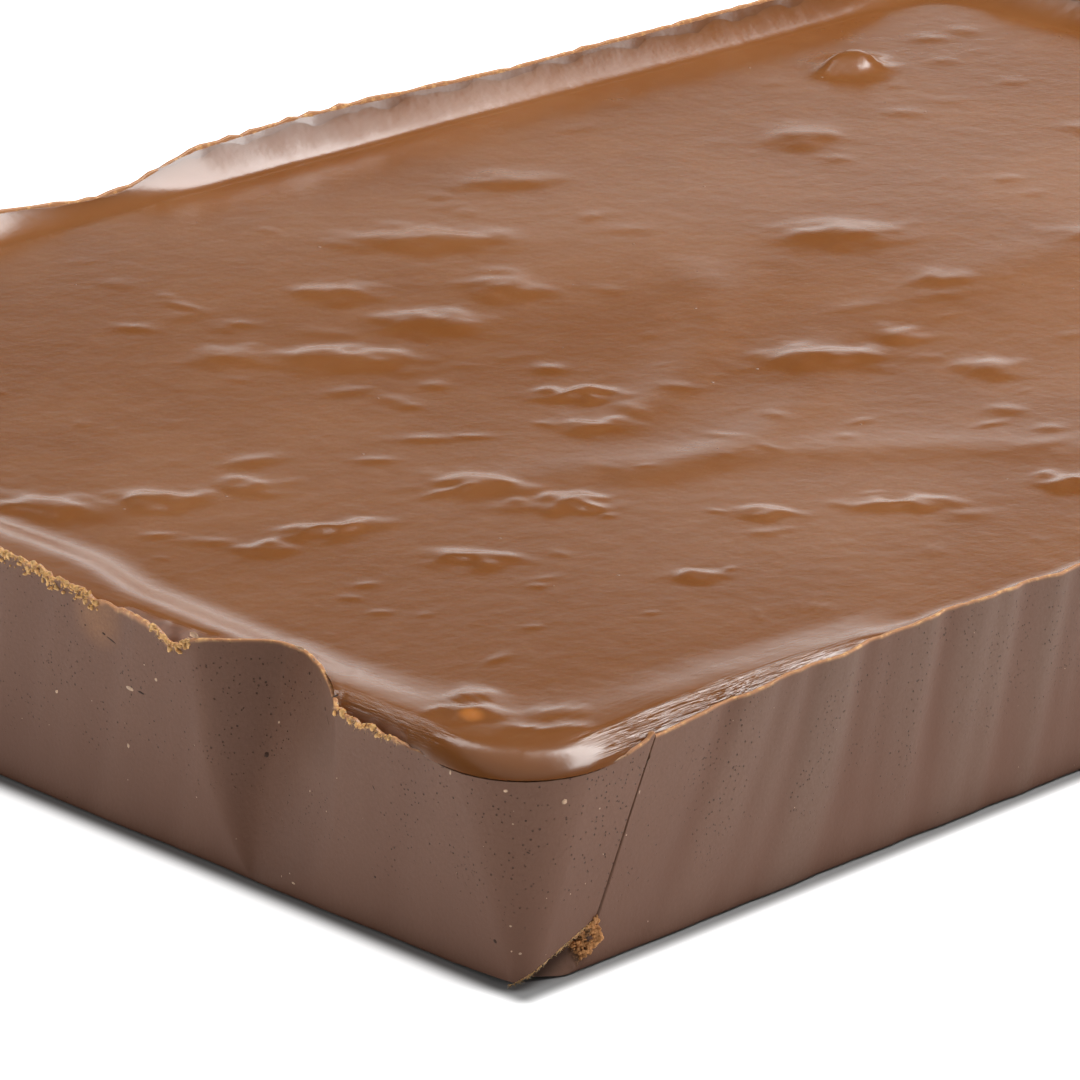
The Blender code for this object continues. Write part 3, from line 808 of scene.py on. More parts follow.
class Signal:
    """A number that varies over a surface. Each operator adds the Math node that it names."""

    def __init__(self, graph, socket):
        self.graph = graph
        self.socket = socket

    def __add__(self, other):
        return self.graph.math("ADD", self, other)

    def __sub__(self, other):
        return self.graph.math("SUBTRACT", self, other)

    def __rsub__(self, other):
        return self.graph.math("SUBTRACT", other, self)

    def __mul__(self, other):
        return self.graph.math("MULTIPLY", self, other)

    def __truediv__(self, other):
        return self.graph.math("DIVIDE", self, other)

    def __pow__(self, other):
        return self.graph.math("POWER", self, other)

    __radd__ = __add__
    __rmul__ = __mul__

    def step(self, low, high):
        """0 below low, 1 above high, eased between."""
        node = self.graph.node(
            "ShaderNodeMapRange",
            {"interpolation_type": "SMOOTHSTEP"},
            {"Value": self, "From Min": low, "From Max": high},
        )
        return Signal(self.graph, node.outputs["Result"])

    def fade(self, low, high):
        """1 below low, 0 above high, eased between."""
        return 1.0 - self.step(low, high)


class Graph:
    """A node tree, built by adding nodes and linking their sockets."""

    def __init__(self, tree, material=None):
        self.tree = tree
        self.material = material

    def node(self, kind, settings=None, inputs=None):
        """Adds a node, sets its settings, then the values or links of its sockets."""
        node = self.tree.nodes.new(kind)
        for key, value in (settings or {}).items():
            setattr(node, key, value)
        for key, value in (inputs or {}).items():
            self.connect(node.inputs[key], value)
        return node

    def connect(self, socket, value):
        """Links a signal or a socket to a socket, or sets its value."""
        if isinstance(value, Signal):
            value = value.socket
        if isinstance(value, bpy.types.NodeSocket):
            self.tree.links.new(value, socket)
        else:
            socket.default_value = value

    def math(self, operation, *values):
        """A Math node."""
        node = self.node("ShaderNodeMath", {"operation": operation}, dict(enumerate(values)))
        return Signal(self, node.outputs[0])

    def here(self):
        """The place on the object."""
        return self.node("ShaderNodeTexCoord").outputs["Object"]

    def mask(self, name):
        """A mask stored on the mesh."""
        node = self.node("ShaderNodeAttribute", {"attribute_type": "GEOMETRY", "attribute_name": name})
        return Signal(self, node.outputs["Fac"])

    def place(self, scale=(1, 1, 1), turn=(0, 0, 0)):
        """Object coordinates, scaled and turned."""
        inputs = {"Vector": self.here(), "Scale": scale, "Rotation": turn}
        return self.node("ShaderNodeMapping", None, inputs).outputs[0]

    def part(self, axis):
        """One coordinate of the place on the object, in metres."""
        return Signal(self, self.node("ShaderNodeSeparateXYZ", None, {"Vector": self.here()}).outputs[axis])

    def spot(self, centre, radius):
        """1 at a point of the object, fading to 0 at a radius from it."""
        gap = self.node("ShaderNodeVectorMath", {"operation": "DISTANCE"}, {0: self.here(), 1: centre})
        return Signal(self, gap.outputs["Value"]).fade(radius * 0.3, radius)

    def noise(self, size, detail=3.0, roughness=0.5, place=None):
        """Cloudy noise, 0 to 1, with features of about one size in metres."""
        inputs = {"Scale": 1.0 / size, "Detail": detail, "Roughness": roughness}
        inputs["Vector"] = place or self.place()
        return Signal(self, self.node("ShaderNodeTexNoise", None, inputs).outputs["Fac"])

    def dots(self, size, radius, kept):
        """Round dots of a radius in cells of a size, both in metres. A share of the cells holds a dot."""
        node = self.node("ShaderNodeTexVoronoi", None, {"Vector": self.place(), "Scale": 1.0 / size})
        drawn = self.node("ShaderNodeSeparateColor", None, {"Color": node.outputs["Color"]})
        chosen = Signal(self, drawn.outputs[0]).step(kept, kept - 0.02)
        width = Signal(self, drawn.outputs[1]) * 0.7 + 0.3
        near = Signal(self, node.outputs["Distance"]) * (size / radius) / width
        return near.step(1.0, 0.55) * chosen

    def blend(self, amount, first, second):
        """Mixes two colours by an amount."""
        return self.node("ShaderNodeMix", {"data_type": "RGBA"}, {0: amount, 6: first, 7: second}).outputs[2]

    def layers(self, colour, *layers):
        """A colour under layers, each an amount and a colour, the lowest first."""
        for amount, above in layers:
            colour = self.blend(amount, colour, above)
        return colour

    def bump(self, height, distance):
        """Normals of a relief that is so many metres high."""
        inputs = {"Height": height, "Distance": distance, "Strength": 1.0}
        return self.node("ShaderNodeBump", None, inputs).outputs["Normal"]

    def finish(self, **values):
        """Sets or links the Principled shader's sockets, by name with _ for a space."""
        shader = self.tree.nodes["Principled BSDF"]
        for key, value in values.items():
            self.connect(shader.inputs[key.replace("_", " ")], value)
        return self.material


def material_graph(name):
    """The graph of a new material."""
    material = bpy.data.materials.new(name)
    material.use_nodes = True
    return Graph(material.node_tree, material)


def rgba(colour, gain=1.0):
    """A colour with full alpha, made lighter or darker."""
    return (colour[0] * gain, colour[1] * gain, colour[2] * gain, 1.0)


def side_material(colours):
    """Matt moulded sides: cocoa-brown under a thin grey bloom, pinholes, painted shade, and a painted amber
    glow at the thin rim.
    """
    g = material_graph("moulded_sides")
    height = g.part(2)
    cloud = g.noise(0.022, 3, 0.55)
    streak = g.noise(0.004, 2, 0.5, g.place(scale=(1, 1, 0.12)))
    # Where the bloom is thin, low on the wall and in the pleats' hollows, this is painted shade; thicker
    # bloom on the pleats' ridges is painted light. Elsewhere the bloom varies at random.
    bloom = (height.step(0.001, 0.026) * 0.6 + (cloud - 0.5) * 0.8 + (streak - 0.5) * 0.25 + 0.15
             - g.mask("pleat") * 0.32)
    front = (g.part(1) - SLAB_LOW.y).fade(0.0, 0.006) * (g.part(0) - SLAB_LOW.x).step(0.012, 0.060)
    bloomed = g.blend(front, rgba(colours.side), rgba(colours.side_front))
    stain = g.spot((SLAB_LOW.x, SLAB_LOW.y + 80 * MM, 29 * MM), 6.0 * MM)
    corner = g.spot((SLAB_LOW.x + 6 * MM, SLAB_LOW.y, 17 * MM), 26 * MM)
    patch = (g.noise(0.014, 2) + corner * 0.3).step(0.36, 0.56) * height.step(0.003, 0.016)
    # Pinholes and pits, drawn near-black: painted shade inside them
    pores = g.dots(0.00060, 0.00017, 0.78) * patch
    pits = g.dots(0.0075, 0.00022, 0.25)
    crumbs = g.noise(0.0006, 4, 0.7)
    # The chip's crumbs: golden, with painted shade in the hollows between them
    crumb = g.blend(crumbs.step(0.45, 0.62), rgba(colours.crumb, 0.20), rgba(colours.crumb))
    # Painted light: the amber glow of light through the thin rim, broken up with the golden colour of flakes
    glow_and_flakes = g.blend(g.noise(0.0012, 3, 0.6).step(0.50, 0.66), rgba(colours.edge), rgba(colours.flake))
    body = g.layers(
        rgba(colours.bare_side_and_shade),
        (bloom, bloomed),
        (stain * (cloud.step(0.2, 0.7) * 0.2 + 0.1), rgba(colours.crumb)),
        (g.noise(0.0005, 3, 0.7).step(0.3, 0.7) * 0.35, rgba(colours.bare_side_and_shade, 0.9)),
        (pores * 0.85, rgba(colours.pit, 1.4)),
        (pits, rgba(colours.pit)),
        (g.mask("broken"), rgba(colours.side, 0.95)),
        # Painted shade deep in the chip
        (g.mask("deep") * 0.85, rgba(colours.pit)),
        (g.mask("crumb"), crumb),
        # Painted shade in the crease's groove
        (g.mask("groove") * 0.8, rgba(colours.pit, 1.6)),
        (g.mask("edge"), glow_and_flakes),
    )
    fine = g.noise(0.0007, 3, 0.6) * 0.5 + g.noise(0.006, 3, 0.5)
    relief = fine - pores * 1.2 - pits * 3.0 + g.mask("crumb") * crumbs * 6.0
    return g.finish(
        Base_Color=body,
        Roughness=0.58 - g.mask("edge") * 0.25 + (cloud - 0.5) * 0.1,
        Normal=g.bump(relief, 0.00012),
        Specular_IOR_Level=0.3,
        Subsurface_Weight=0.08,
        Subsurface_Radius=(1.0, 0.45, 0.25),
        Subsurface_Scale=0.0008,
    )


def top_material(colours):
    """Glossy poured milk chocolate: warm brown with paler milky drifts, painted shade at the lip's outer
    edge, fine drag lines and tiny bubbles.
    """
    g = material_graph("poured_top")
    drift = g.noise(0.045, 4, 0.55)
    fleck = g.noise(0.006, 3, 0.6)
    torn = g.mask("torn")
    bubbles = g.dots(0.0045, 0.00032, 0.30)
    body = g.layers(
        rgba(colours.top),
        (drift.step(0.35, 0.68), rgba(colours.top_pale)),
        (fleck.step(0.55, 0.75) * 0.25, rgba(colours.top_pale, 1.1)),
        # Painted shade on the lip's outer edge, where the pour turns down to the wall
        (g.mask("thin") * 0.85, rgba(colours.thin)),
        (torn, g.blend(g.noise(0.0012, 3, 0.6), rgba(colours.torn, 0.55), rgba(colours.torn, 1.3))),
        (g.spot(AMBER_SPOT, AMBER_RADIUS) * 0.65, rgba(colours.amber)),
        (bubbles * 0.55, rgba(colours.grain)),
    )
    from_front = g.part(1) - SLAB_LOW.y
    from_left = g.part(0) - SLAB_LOW.x
    front = from_front.fade(0.005, 0.022) * from_left.step(0.010, 0.026)
    left = from_left.fade(0.008, 0.030) * from_front.step(0.012, 0.035)
    lines_front = g.noise(0.0006, 3, 0.6, g.place(scale=(0.04, 1, 1), turn=(0, 0, 3 * DEGREE)))
    lines_left = g.noise(0.0006, 3, 0.6, g.place(scale=(1, 0.04, 1), turn=(0, 0, -3 * DEGREE)))
    band = g.mask("inward").step(0.01, 0.06) * g.mask("inward").fade(0.14, 0.26)
    ridge = band * from_front.fade(0.004, 0.009) * from_left.step(0.012, 0.018) * from_left.fade(0.035, 0.075)
    hair = g.noise(0.0008, 3, 0.65, g.place(scale=(0.045, 1, 1), turn=(0, 0, 5 * DEGREE))) - 0.5
    ridge_left = band * from_left.fade(0.006, 0.012) * from_front.step(0.014, 0.020)
    ridge_left = ridge_left * from_front.fade(0.034, 0.040)
    hair_left = g.noise(0.0007, 3, 0.65, g.place(scale=(1, 0.05, 1), turn=(0, 0, 4 * DEGREE))) - 0.5
    relief = (lines_front - 0.5) * front * 0.25 + (lines_left - 0.5) * left * 0.2
    relief = relief + hair * ridge * 9.0 + hair_left * ridge_left * 4.0
    relief = relief + g.noise(0.004, 3, 0.5) * 0.7 + g.noise(0.0011, 2, 0.5) * 0.10 + bubbles * 1.2
    return g.finish(
        Base_Color=body,
        Roughness=0.21 + (fleck - 0.5) * 0.12 + (drift - 0.5) * 0.08 + torn * 0.3 - ridge * 0.07,
        Normal=g.bump(relief, 0.00010),
        Specular_IOR_Level=0.65,
        Subsurface_Weight=0.12,
        Subsurface_Radius=(1.0, 0.45, 0.22),
        Subsurface_Scale=0.0012,
    )


def plain_material(name, colour, roughness, scatter):
    """One colour broken up by fine noise, for flakes, crumbs and specks."""
    g = material_graph(name)
    tone = g.noise(0.0006, 3, 0.6)
    return g.finish(
        Base_Color=g.blend(tone.step(0.3, 0.7), rgba(colour, 0.62), rgba(colour, 1.12)),
        Roughness=roughness,
        Normal=g.bump(tone, 0.00008),
        Specular_IOR_Level=0.2,
        Subsurface_Weight=scatter,
        Subsurface_Radius=(1.0, 0.6, 0.3),
        Subsurface_Scale=0.0008,
    )


# ---- Small loose pieces ----


def on_wall(sizes, distance, height):
    """Points of the wall, with its along, up and outward directions there, from differences of the wall."""

    def face(distance, height):
        ring = Round(sizes, distance)
        moved = stretched(ring.along, crease_at(height), CREASE_TOP)
        return wall(sizes, Round(sizes, distance - ring.along + moved), height)[0]

    nudge = 0.15 * MM
    here = face(distance, height)
    ahead = face(distance + nudge, height)
    above = face(distance, height + nudge)
    along = unit(np.column_stack((ahead - here, np.zeros(len(here)))))
    outward = unit(np.cross(along, np.column_stack((above - here, np.full(len(here), nudge)))))
    return np.column_stack((here, height)), along, np.cross(outward, along), outward


def blades(root, direction, side, length, width, droop):
    """Small closed blades: three-sided sections at three stations and a tip, which droop as they go out.

    A point is root + direction * length * s + section * width * (1 - s) / 2, lowered by droop * s^2.
    """
    up = np.cross(direction, side)
    stations = np.array((0.0, 0.3, 0.65))
    angle = np.arange(3) * 2 * np.pi / 3 + np.pi / 6
    s = stations[None, :, None, None]
    span = root[:, None, None, :] + direction[:, None, None, :] * (length[:, None, None, None] * s)
    section = (
        side[:, None, None, :] * np.cos(angle)[None, None, :, None]
        + up[:, None, None, :] * (0.4 * np.sin(angle))[None, None, :, None]
    )
    body = span + section * (width[:, None, None, None] * (1.0 - s) * 0.5)
    body[..., 2] -= droop[:, None, None] * (stations**2)[None, :, None]
    tip = root + direction * length[:, None]
    tip[:, 2] -= droop
    vertices = np.concatenate((body.reshape(len(root), 9, 3), tip[:, None, :]), axis=1)
    k = np.arange(3)
    triangles = np.vstack((((0, 2, 1),), np.column_stack((k + 6, (k + 1) % 3 + 6, np.full(3, 9)))))
    return copies(vertices, ring_quads(3, 3), triangles)


def copies(vertices, quads, triangles):
    """One mesh from many of the same kind: their vertices, by copy, and the faces of the first."""
    base = (np.arange(len(vertices)) * vertices.shape[1])[:, None, None]
    return vertices.reshape(-1, 3), (quads + base).reshape(-1, 4), (triangles + base).reshape(-1, 3)


def balls(centre, axes, uneven, seed):
    """Small closed lumps: a ball of 5 rings of 8 points each, stretched by three axes, roughened by grain."""
    rows = np.linspace(0, np.pi, 7)[1:-1]
    turns = np.arange(8) * 2 * np.pi / 8
    a, b = np.meshgrid(rows, turns, indexing="ij")
    shell = np.stack((np.sin(a) * np.cos(b), np.sin(a) * np.sin(b), np.cos(a)), axis=-1).reshape(-1, 3)
    ball = np.vstack((((0, 0, 1.0),), shell, ((0, 0, -1.0),)))
    arm = np.einsum("kj,njc->nkc", ball, axes)
    vary = grain((centre[:, None, :] + arm).reshape(-1, 3), 0.4 * MM, seed).reshape(len(centre), -1, 1)
    body = centre[:, None, :] + arm * (1.0 + uneven * vary)
    quads = ring_quads(5, 8, 1)[:, ::-1]
    triangles = np.vstack((fan(0, np.arange(1, 9)), fan(41, np.arange(33, 41), flipped=True)))
    return copies(body, quads, triangles)


def marks(sizes, placed, spread, seed):
    """Small flat lumps let into the walls: the placed ones and some in drawn places."""
    draw = np.random.default_rng(seed)
    count, smallest, largest = spread
    drawn = np.column_stack((
        draw.uniform(0, ROUND, count),
        draw.uniform(*MARK_HEIGHTS, count),
        draw.uniform(smallest, largest, count) * draw.uniform(1.0, 1.7, count),
        draw.uniform(smallest, largest, count),
        draw.uniform(-90, 90, count),
    ))
    distance, height, length, width, heading = np.vstack((np.array(placed), drawn)).T
    point, along, up, outward = on_wall(sizes, distance * MM, height * MM)
    long_axis, short_axis = turned(along, up, heading[:, None])
    reach = np.column_stack((length, width, 0.35 * width)) * MM
    axes = np.stack((long_axis, short_axis, outward), axis=1) * reach[:, :, None]
    return balls(point - outward * reach[:, 2:] * (1.0 - MARK_PROUD), axes, 0.35, seed)


def rough_crumbs(draw, centre, radius, seed):
    """Rough crumbs of drawn proportions, from their centres and radii."""
    stretch = draw.uniform(0.6, 1.4, (len(centre), 3, 1))
    return balls(centre, np.eye(3)[None] * radius[:, None, None] * stretch, 0.9, seed)


def chip_fringe(sizes, draw, many):
    """Roots, directions, lengths and widths of torn flakes along the upper edge of the chip."""
    start = -CHIP_MOUTH[0][1] * MM
    distance = draw.uniform(start, CHIP_MOUTH[1][0] * MM, many) % (2 * (sizes.length + sizes.width))
    deepest, normals = chip_planes(sizes)
    height = np.full(many, CHIP_DEEPEST[2] * MM)
    for _ in range(4):
        root, along, up, outward = on_wall(sizes, distance, np.clip(height, 0.3 * MM, 7 * MM))
        from_deepest = root[:, :2] - deepest[:2]
        height = deepest[2] - from_deepest @ normals[0][:2] / normals[0][2]
    slant = (along + up * 0.5) * draw.choice((-1.0, 1.0), many)[:, None]
    direction = unit(outward * 0.2 + slant - up * draw.uniform(0, 0.9, many)[:, None])
    root = root + outward * draw.uniform(-0.10, 0.05, many)[:, None] * MM
    root[:, 2] += draw.uniform(-0.02, 0.16, many) * MM
    return root, direction, draw.uniform(0.3, 1.0, many) ** 2 * 0.85 * MM, draw.uniform(0.12, 0.26, many) * MM


def rim_fringe(sizes, draw, first, last, many, longest):
    """Roots, directions, lengths and widths of torn flakes along one stretch of the rim."""
    distance = draw.uniform(first, last, many) * MM
    root, along, up, outward = on_wall(sizes, distance, rim_height(Round(sizes, distance)))
    lean = draw.uniform(-1.0, 1.0, many)[:, None]
    rise = draw.uniform(-0.7, 0.25, many)[:, None]
    direction = unit(outward * 0.18 + along * lean + up * rise)
    length = draw.uniform(0.3, 1.0, many) ** 1.5 * longest * MM
    root = root - outward * draw.uniform(0.05, 0.3, many)[:, None] * MM
    root[:, 2] -= draw.uniform(0.0, 0.25, many) * MM
    return root, direction, length, draw.uniform(0.10, 0.26, many) * MM


def rim_flakes(sizes):
    """Torn golden flakes along the ragged stretches of the rim and the upper edge of the chip."""
    draw = np.random.default_rng(31)
    groups = [rim_fringe(sizes, draw, *stretch) for stretch in FRINGES]
    groups.append(chip_fringe(sizes, draw, CHIP_FLAKES))
    root, direction, length, width = (np.concatenate(parts) for parts in zip(*groups))
    side = unit(np.cross(direction, np.array((0.31, 0.22, 0.92))))
    return blades(root, direction, side, length, width, length * 0.25)


def chip_crumbs(sizes):
    """Crumbs over the broken face of the chip."""
    draw = np.random.default_rng(5)
    many = CHIP_CRUMBS
    mouth, deepest = chip_corners(sizes)
    share = draw.dirichlet((1.0, 1.0, 1.0), many)
    low = draw.uniform(0, 1, many)[:, None] < 0.6
    other = np.where(low, mouth[3] * 0.5 + mouth[2] * 0.25 + deepest * 0.25, mouth[1])
    centre = share[:, :1] * other + share[:, 1:2] * mouth[2] + share[:, 2:] * deepest
    centre += draw.normal(0.0, 0.16, (many, 3)) * MM
    centre[:, 1:] = np.maximum(centre[:, 1:], (SLAB_LOW.y + 0.25 * MM, 0.4 * MM))
    return rough_crumbs(draw, centre, draw.uniform(0.08, 0.30, many) * MM, 9)


def rim_crumbs(sizes):
    """Golden crumbs that hang from the torn stretches of the rim, more of them near the top."""
    draw = np.random.default_rng(77)
    centres = []
    for first, last, many, reach in RIM_CRUMBS:
        distance = draw.uniform(first, last, many) * MM
        height = rim_height(Round(sizes, distance)) - draw.uniform(0, 1, many) ** 1.8 * reach * MM
        point, _, _, outward = on_wall(sizes, distance, height)
        centres.append(point + outward * draw.uniform(-0.15, 0.10, many)[:, None] * MM)
    centre = np.vstack(centres)
    return rough_crumbs(draw, centre, draw.uniform(0.25, 1.0, len(centre)) ** 1.5 * 0.36 * MM, 12)


def dark_pits(sizes):
    """Pits in the walls, dark with painted shade, and short dark fibres."""
    return marks(sizes, PITS, PIT_SPREAD, 41)


def pale_grains(sizes):
    """Pale sugar grains in the walls."""
    return marks(sizes, GRAINS, GRAIN_SPREAD, 43)


def build_small(settings, name, shape, colour, roughness, scatter):
    """A piece of many small things, with a plain material in one of the colour settings."""
    material = plain_material(name, getattr(settings.fudge_colours, colour), roughness, scatter)
    return slab_piece(name, *shape(settings.fudge_sizes), material)


# ---- Settings ----


def length_property(name, description, default):
    """A length setting."""
    return FloatProperty(name=name, description=description, unit="LENGTH", default=default)


def colour_property(name, description, default):
    """A colour setting."""
    return FloatVectorProperty(
        name=name, description=description, subtype="COLOR", min=0, max=1, default=default
    )


def light_property(name, description, default):
    """A setting of the camera or the light."""
    return FloatProperty(name=name, description=description, default=default)


class FudgeSizes(bpy.types.PropertyGroup):
    """Sizes of the slab's finish."""

    length: length_property("Length", "Length of the slab", 0.330)
    width: length_property("Width", "Width of the slab", 0.230)
    basin_height: length_property("Basin height", "Height of the poured surface", 0.026)
    basin_inset: length_property("Basin inset", "Distance from the wall to the level basin", 0.024)
    basin_corner: length_property("Basin corner", "Corner radius of the level basin", 0.0005)
    lip_height: length_property("Lip height", "Height where the pour meets the wall", 0.0264)
    corner_top: length_property("Top corner", "Corner radius at the rim", 0.0135)
    corner_base: length_property("Base corner", "Corner radius at the base", 0.003)
    rim_thickness: length_property("Rim thickness", "Thickness of the thin rim", 0.00065)


class FudgeColours(bpy.types.PropertyGroup):
    """Colours of the slab, in linear light."""

    top: colour_property("Top", "Poured milk chocolate", (0.208, 0.071, 0.017))
    top_pale: colour_property("Pale top", "Milky drifts in the top", (0.246, 0.093, 0.029))
    side: colour_property("Side", "Bloomed moulded side", (0.156, 0.078, 0.049))
    side_front: colour_property("Front side", "Greyer bloom on the front", (0.140, 0.078, 0.052))
    # Side colour where the bloom is thin: painted shade near the base and in the pleats' hollows, and random
    # bare patches
    bare_side_and_shade: colour_property("Side, low", "Browner lower side", (0.120, 0.052, 0.029))
    # Painted shade on the outer edge of the poured lip
    thin: colour_property("Thin pour", "Pour that hangs over the corner", (0.128, 0.044, 0.012))
    torn: colour_property("Torn", "Torn pour beside the rim", (0.20, 0.080, 0.040))
    # Painted light: the glow of light through the thin rim
    edge: colour_property("Thin rim", "Light through the thin rim", (0.44, 0.20, 0.085))
    crumb: colour_property("Crumb", "Broken inside", (0.45, 0.21, 0.078))
    amber: colour_property("Amber", "Amber patch on a lump of the top", (0.52, 0.18, 0.035))
    flake: colour_property("Flake", "Golden flakes", (0.68, 0.38, 0.15))
    # Painted shade inside pinholes, pits, the chip and the crease's groove, and the colour of the dark fibres
    pit: colour_property("Pit", "Inside of a pinhole", (0.040, 0.017, 0.009))
    grain: colour_property("Grain", "Pale sugar grains", (0.50, 0.33, 0.22))


class FudgeStudio(bpy.types.PropertyGroup):
    """Camera and light. Lights and sky are set by their radiance."""

    lens: light_property("Lens", "Focal length in millimetres", 205.2)
    box_right: light_property("Right soft box", "Soft box on the right", 8.7)
    box_low: light_property("Low soft box", "Strip under the right soft box", 3.0)
    box_back: light_property("Back soft box", "Soft box at the back", 3.7)
    wall_left: light_property("Left wall", "White wall on the left", 2.3)
    wall_right: light_property("Right wall", "White wall on the right", 0.9)
    floor_glow: light_property("Floor glow", "Light that the floor itself gives off", 0.90)
    sky_front: light_property("Low sky", "Sky low down, all round", 0.30)
    sky_back: light_property("Low sky, behind", "Added low down behind", 0.28)
    sky_right: light_property("Low sky, right", "Added low down on the right", 0.25)
    horizon: light_property("Horizon", "Added just above the horizon", 0.62)
    sky_middle: light_property("Middle sky", "Sky all over", 0.015)
    sky_top: light_property("Top sky", "Added overhead", 0.4)


# ---- Studio ----


def add_light(name, direction, distance, size, radiance, target, glossy):
    """A soft rectangular light in a direction from a target, which it faces, and which no camera sees.

    Its power in watts is pi times its radiance times its area. Without glossy it makes no highlights.
    """
    data = bpy.data.lights.new(name, "AREA")
    data.shape = "RECTANGLE"
    data.size, data.size_y = size
    data.energy = np.pi * radiance * size[0] * size[1]
    light = bpy.data.objects.new(name, data)
    light.location = Vector(target) + Vector(direction).normalized() * distance
    light.rotation_euler = Vector(direction).to_track_quat("Z", "Y").to_euler()
    light.visible_camera = False
    light.visible_glossy = glossy
    bpy.context.scene.collection.objects.link(light)


def floor_finish(studio):
    """White floor with a faint glow of its own, and a painted contact shadow: grey and without the glow under
    the slab and close to it.
    """
    g = material_graph("pale_floor")
    half = (SLAB_HIGH - SLAB_LOW) / 2
    past_x = g.math("MAXIMUM", g.math("ABSOLUTE", g.part(0)) - half.x, 0.0)
    past_y = g.math("MAXIMUM", g.math("ABSOLUTE", g.part(1)) - half.y, 0.0)
    away = (past_x**2 + past_y**2) ** 0.5
    # Painted contact shadow: grey floor and no glow under the slab and close to it
    shadow_grey, pale = (rgba((grey,) * 3) for grey in FLOOR_GREYS)
    glow = away.step(*FLOOR_GLOW_FROM)
    return g.finish(
        Base_Color=g.blend(away.step(0.0, FLOOR_SHADE), shadow_grey, pale),
        Roughness=0.9,
        Specular_IOR_Level=0.1,
        Emission_Color=g.blend(glow, (0.0, 0.0, 0.0, 1.0), rgba((studio.floor_glow,) * 3)),
        Emission_Strength=1.0,
    )


def build_floor(studio):
    """A wide round floor just under the slab."""
    turns = np.arange(FLOOR_SIDES) * 2 * np.pi / FLOOR_SIDES
    level = SLAB_LOW.z - 0.0001
    ring = np.column_stack((np.cos(turns), np.sin(turns))) * FLOOR_RADIUS
    vertices = np.column_stack((np.vstack((ring, (0, 0))), np.full(FLOOR_SIDES + 1, level)))
    triangles = fan(FLOOR_SIDES, np.arange(FLOOR_SIDES))
    floor = make_piece("floor", vertices, np.zeros((0, 4)), triangles, floor_finish(studio))


def build_sky(studio):
    """A grey world: bright low down all round, more so behind and on the right, and bright overhead."""
    world = bpy.data.worlds.new("studio")
    world.use_nodes = True
    sky = Graph(world.node_tree)
    here = sky.node("ShaderNodeTexCoord").outputs["Generated"]
    parts = sky.node("ShaderNodeSeparateXYZ", None, {"Vector": here}).outputs
    x, y, up = (Signal(sky, part) for part in parts)
    behind = (x * 0.66 + y * 0.67).step(-0.3, 0.6)
    rightward = (x * 0.71 - y * 0.70).step(-0.03, 0.10)
    light = up.fade(0.19, 0.36) * (behind * studio.sky_back + rightward * studio.sky_right + studio.sky_front)
    light = light + up.fade(0.05, 0.18) * studio.horizon
    light = light + up.step(0.72, 0.92) * studio.sky_top + studio.sky_middle
    backdrop = world.node_tree.nodes["Background"]
    sky.connect(backdrop.inputs["Strength"], light)
    sky.connect(backdrop.inputs["Color"], (1.0, 1.0, 1.0, 1.0))
    return world


def build_studio(scene, studio):
    """Pale floor, three soft boxes, two white walls that make no highlights, the sky, and the camera."""
    build_floor(studio)
    scene.world = build_sky(studio)
    near = Vector((SLAB_LOW.x, SLAB_LOW.y, 0.0))
    for name, direction, distance, size, setting, glossy in LIGHTS:
        target = near if glossy else Vector()
        add_light(name, direction, distance, size, getattr(studio, setting), target, glossy)
    data = bpy.data.cameras.new("camera")
    data.lens = studio.lens
    data.sensor_width = SENSOR_WIDTH
    camera = bpy.data.objects.new("camera", data)
    camera.location = near + Vector(CAMERA_PLACE)
    camera.rotation_euler = ((90 - CAMERA_DOWN) * DEGREE, 0.0, -CAMERA_ASIDE * DEGREE)
    scene.collection.objects.link(camera)
    scene.camera = camera
    scene.view_settings.view_transform = "Standard"


# ---- Add-on ----


class FUDGE_OT_sides(bpy.types.Operator):
    """Adds the matt moulded sides with the thin rim and the chipped corner"""

    bl_idname = "fudge.sides"
    bl_label = "Moulded sides"

    def execute(self, context):
        build_sides(context.scene.fudge_sizes, side_material(context.scene.fudge_colours))
        return {"FINISHED"}


class FUDGE_OT_top(bpy.types.Operator):
    """Adds the glossy poured top"""

    bl_idname = "fudge.top"
    bl_label = "Poured top"

    def execute(self, context):
        build_top(context.scene.fudge_sizes, top_material(context.scene.fudge_colours))
        return {"FINISHED"}


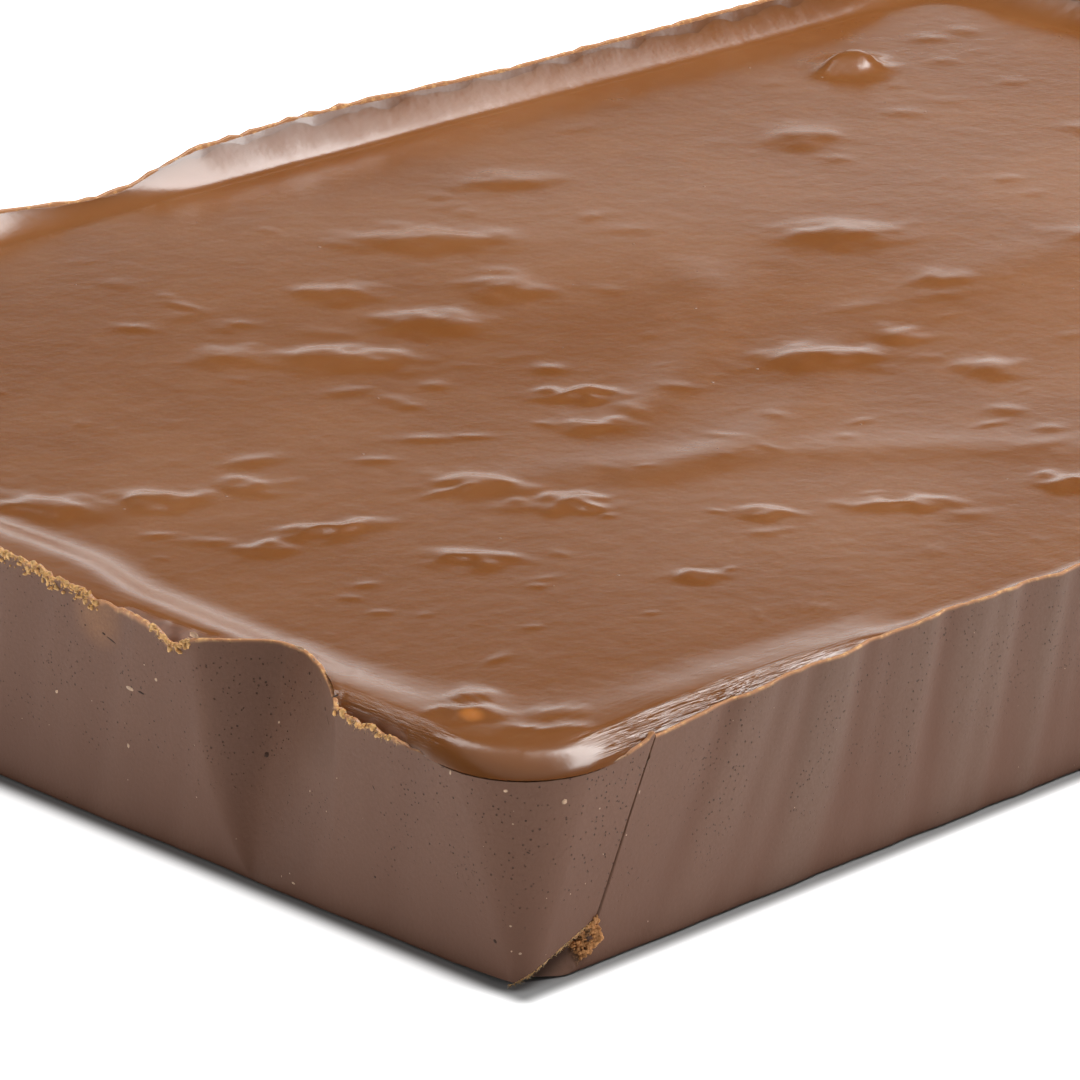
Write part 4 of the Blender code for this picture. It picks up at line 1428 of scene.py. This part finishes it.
class FUDGE_OT_crumbs(bpy.types.Operator):
    """Adds the golden flakes and crumbs of the torn rim, and the crumbs in the chipped corner"""

    bl_idname = "fudge.crumbs"
    bl_label = "Flakes and crumbs"

    def execute(self, context):
        build_small(context.scene, "rim_flakes", rim_flakes, "flake", 0.4, 0.3)
        build_small(context.scene, "chip_crumbs", chip_crumbs, "crumb", 0.7, 0.0)
        build_small(context.scene, "rim_crumbs", rim_crumbs, "flake", 0.5, 0.2)
        return {"FINISHED"}


class FUDGE_OT_marks(bpy.types.Operator):
    """Adds the pits, dark with painted shade, the dark fibres and the pale grains in the walls"""

    bl_idname = "fudge.marks"
    bl_label = "Pits and grains"

    def execute(self, context):
        build_small(context.scene, "dark_pits", dark_pits, "pit", 0.6, 0.0)
        build_small(context.scene, "pale_grains", pale_grains, "grain", 0.4, 0.2)
        return {"FINISHED"}


class FUDGE_OT_studio(bpy.types.Operator):
    """Adds the pale floor, the soft lights and the camera"""

    bl_idname = "fudge.studio"
    bl_label = "Studio"

    def execute(self, context):
        build_studio(context.scene, context.scene.fudge_studio)
        return {"FINISHED"}


class FUDGE_PT_panel(bpy.types.Panel):
    """Lists the slab's pieces and settings"""

    bl_label = "Fudge slab"
    bl_idname = "FUDGE_PT_panel"
    bl_space_type = "VIEW_3D"
    bl_region_type = "UI"
    bl_category = "Fudge"

    def draw(self, context):
        for operator in OPERATORS:
            self.layout.operator(operator.bl_idname)
        for name in ("fudge_sizes", "fudge_colours", "fudge_studio"):
            group = getattr(context.scene, name)
            for key in group.__annotations__:
                self.layout.prop(group, key)


OPERATORS = (FUDGE_OT_sides, FUDGE_OT_top, FUDGE_OT_crumbs, FUDGE_OT_marks, FUDGE_OT_studio)
GROUPS = {"fudge_sizes": FudgeSizes, "fudge_colours": FudgeColours, "fudge_studio": FudgeStudio}


def register():
    for cls in (*GROUPS.values(), *OPERATORS, FUDGE_PT_panel):
        bpy.utils.register_class(cls)
    for name, group in GROUPS.items():
        setattr(bpy.types.Scene, name, PointerProperty(type=group))


def unregister():
    for name in GROUPS:
        delattr(bpy.types.Scene, name)
    for cls in reversed((*GROUPS.values(), *OPERATORS, FUDGE_PT_panel)):
        bpy.utils.unregister_class(cls)


def main():
    register()
    for operator in OPERATORS:
        group, name = operator.bl_idname.split(".")
        getattr(getattr(bpy.ops, group), name)()


if __name__ == "__main__":
    main()
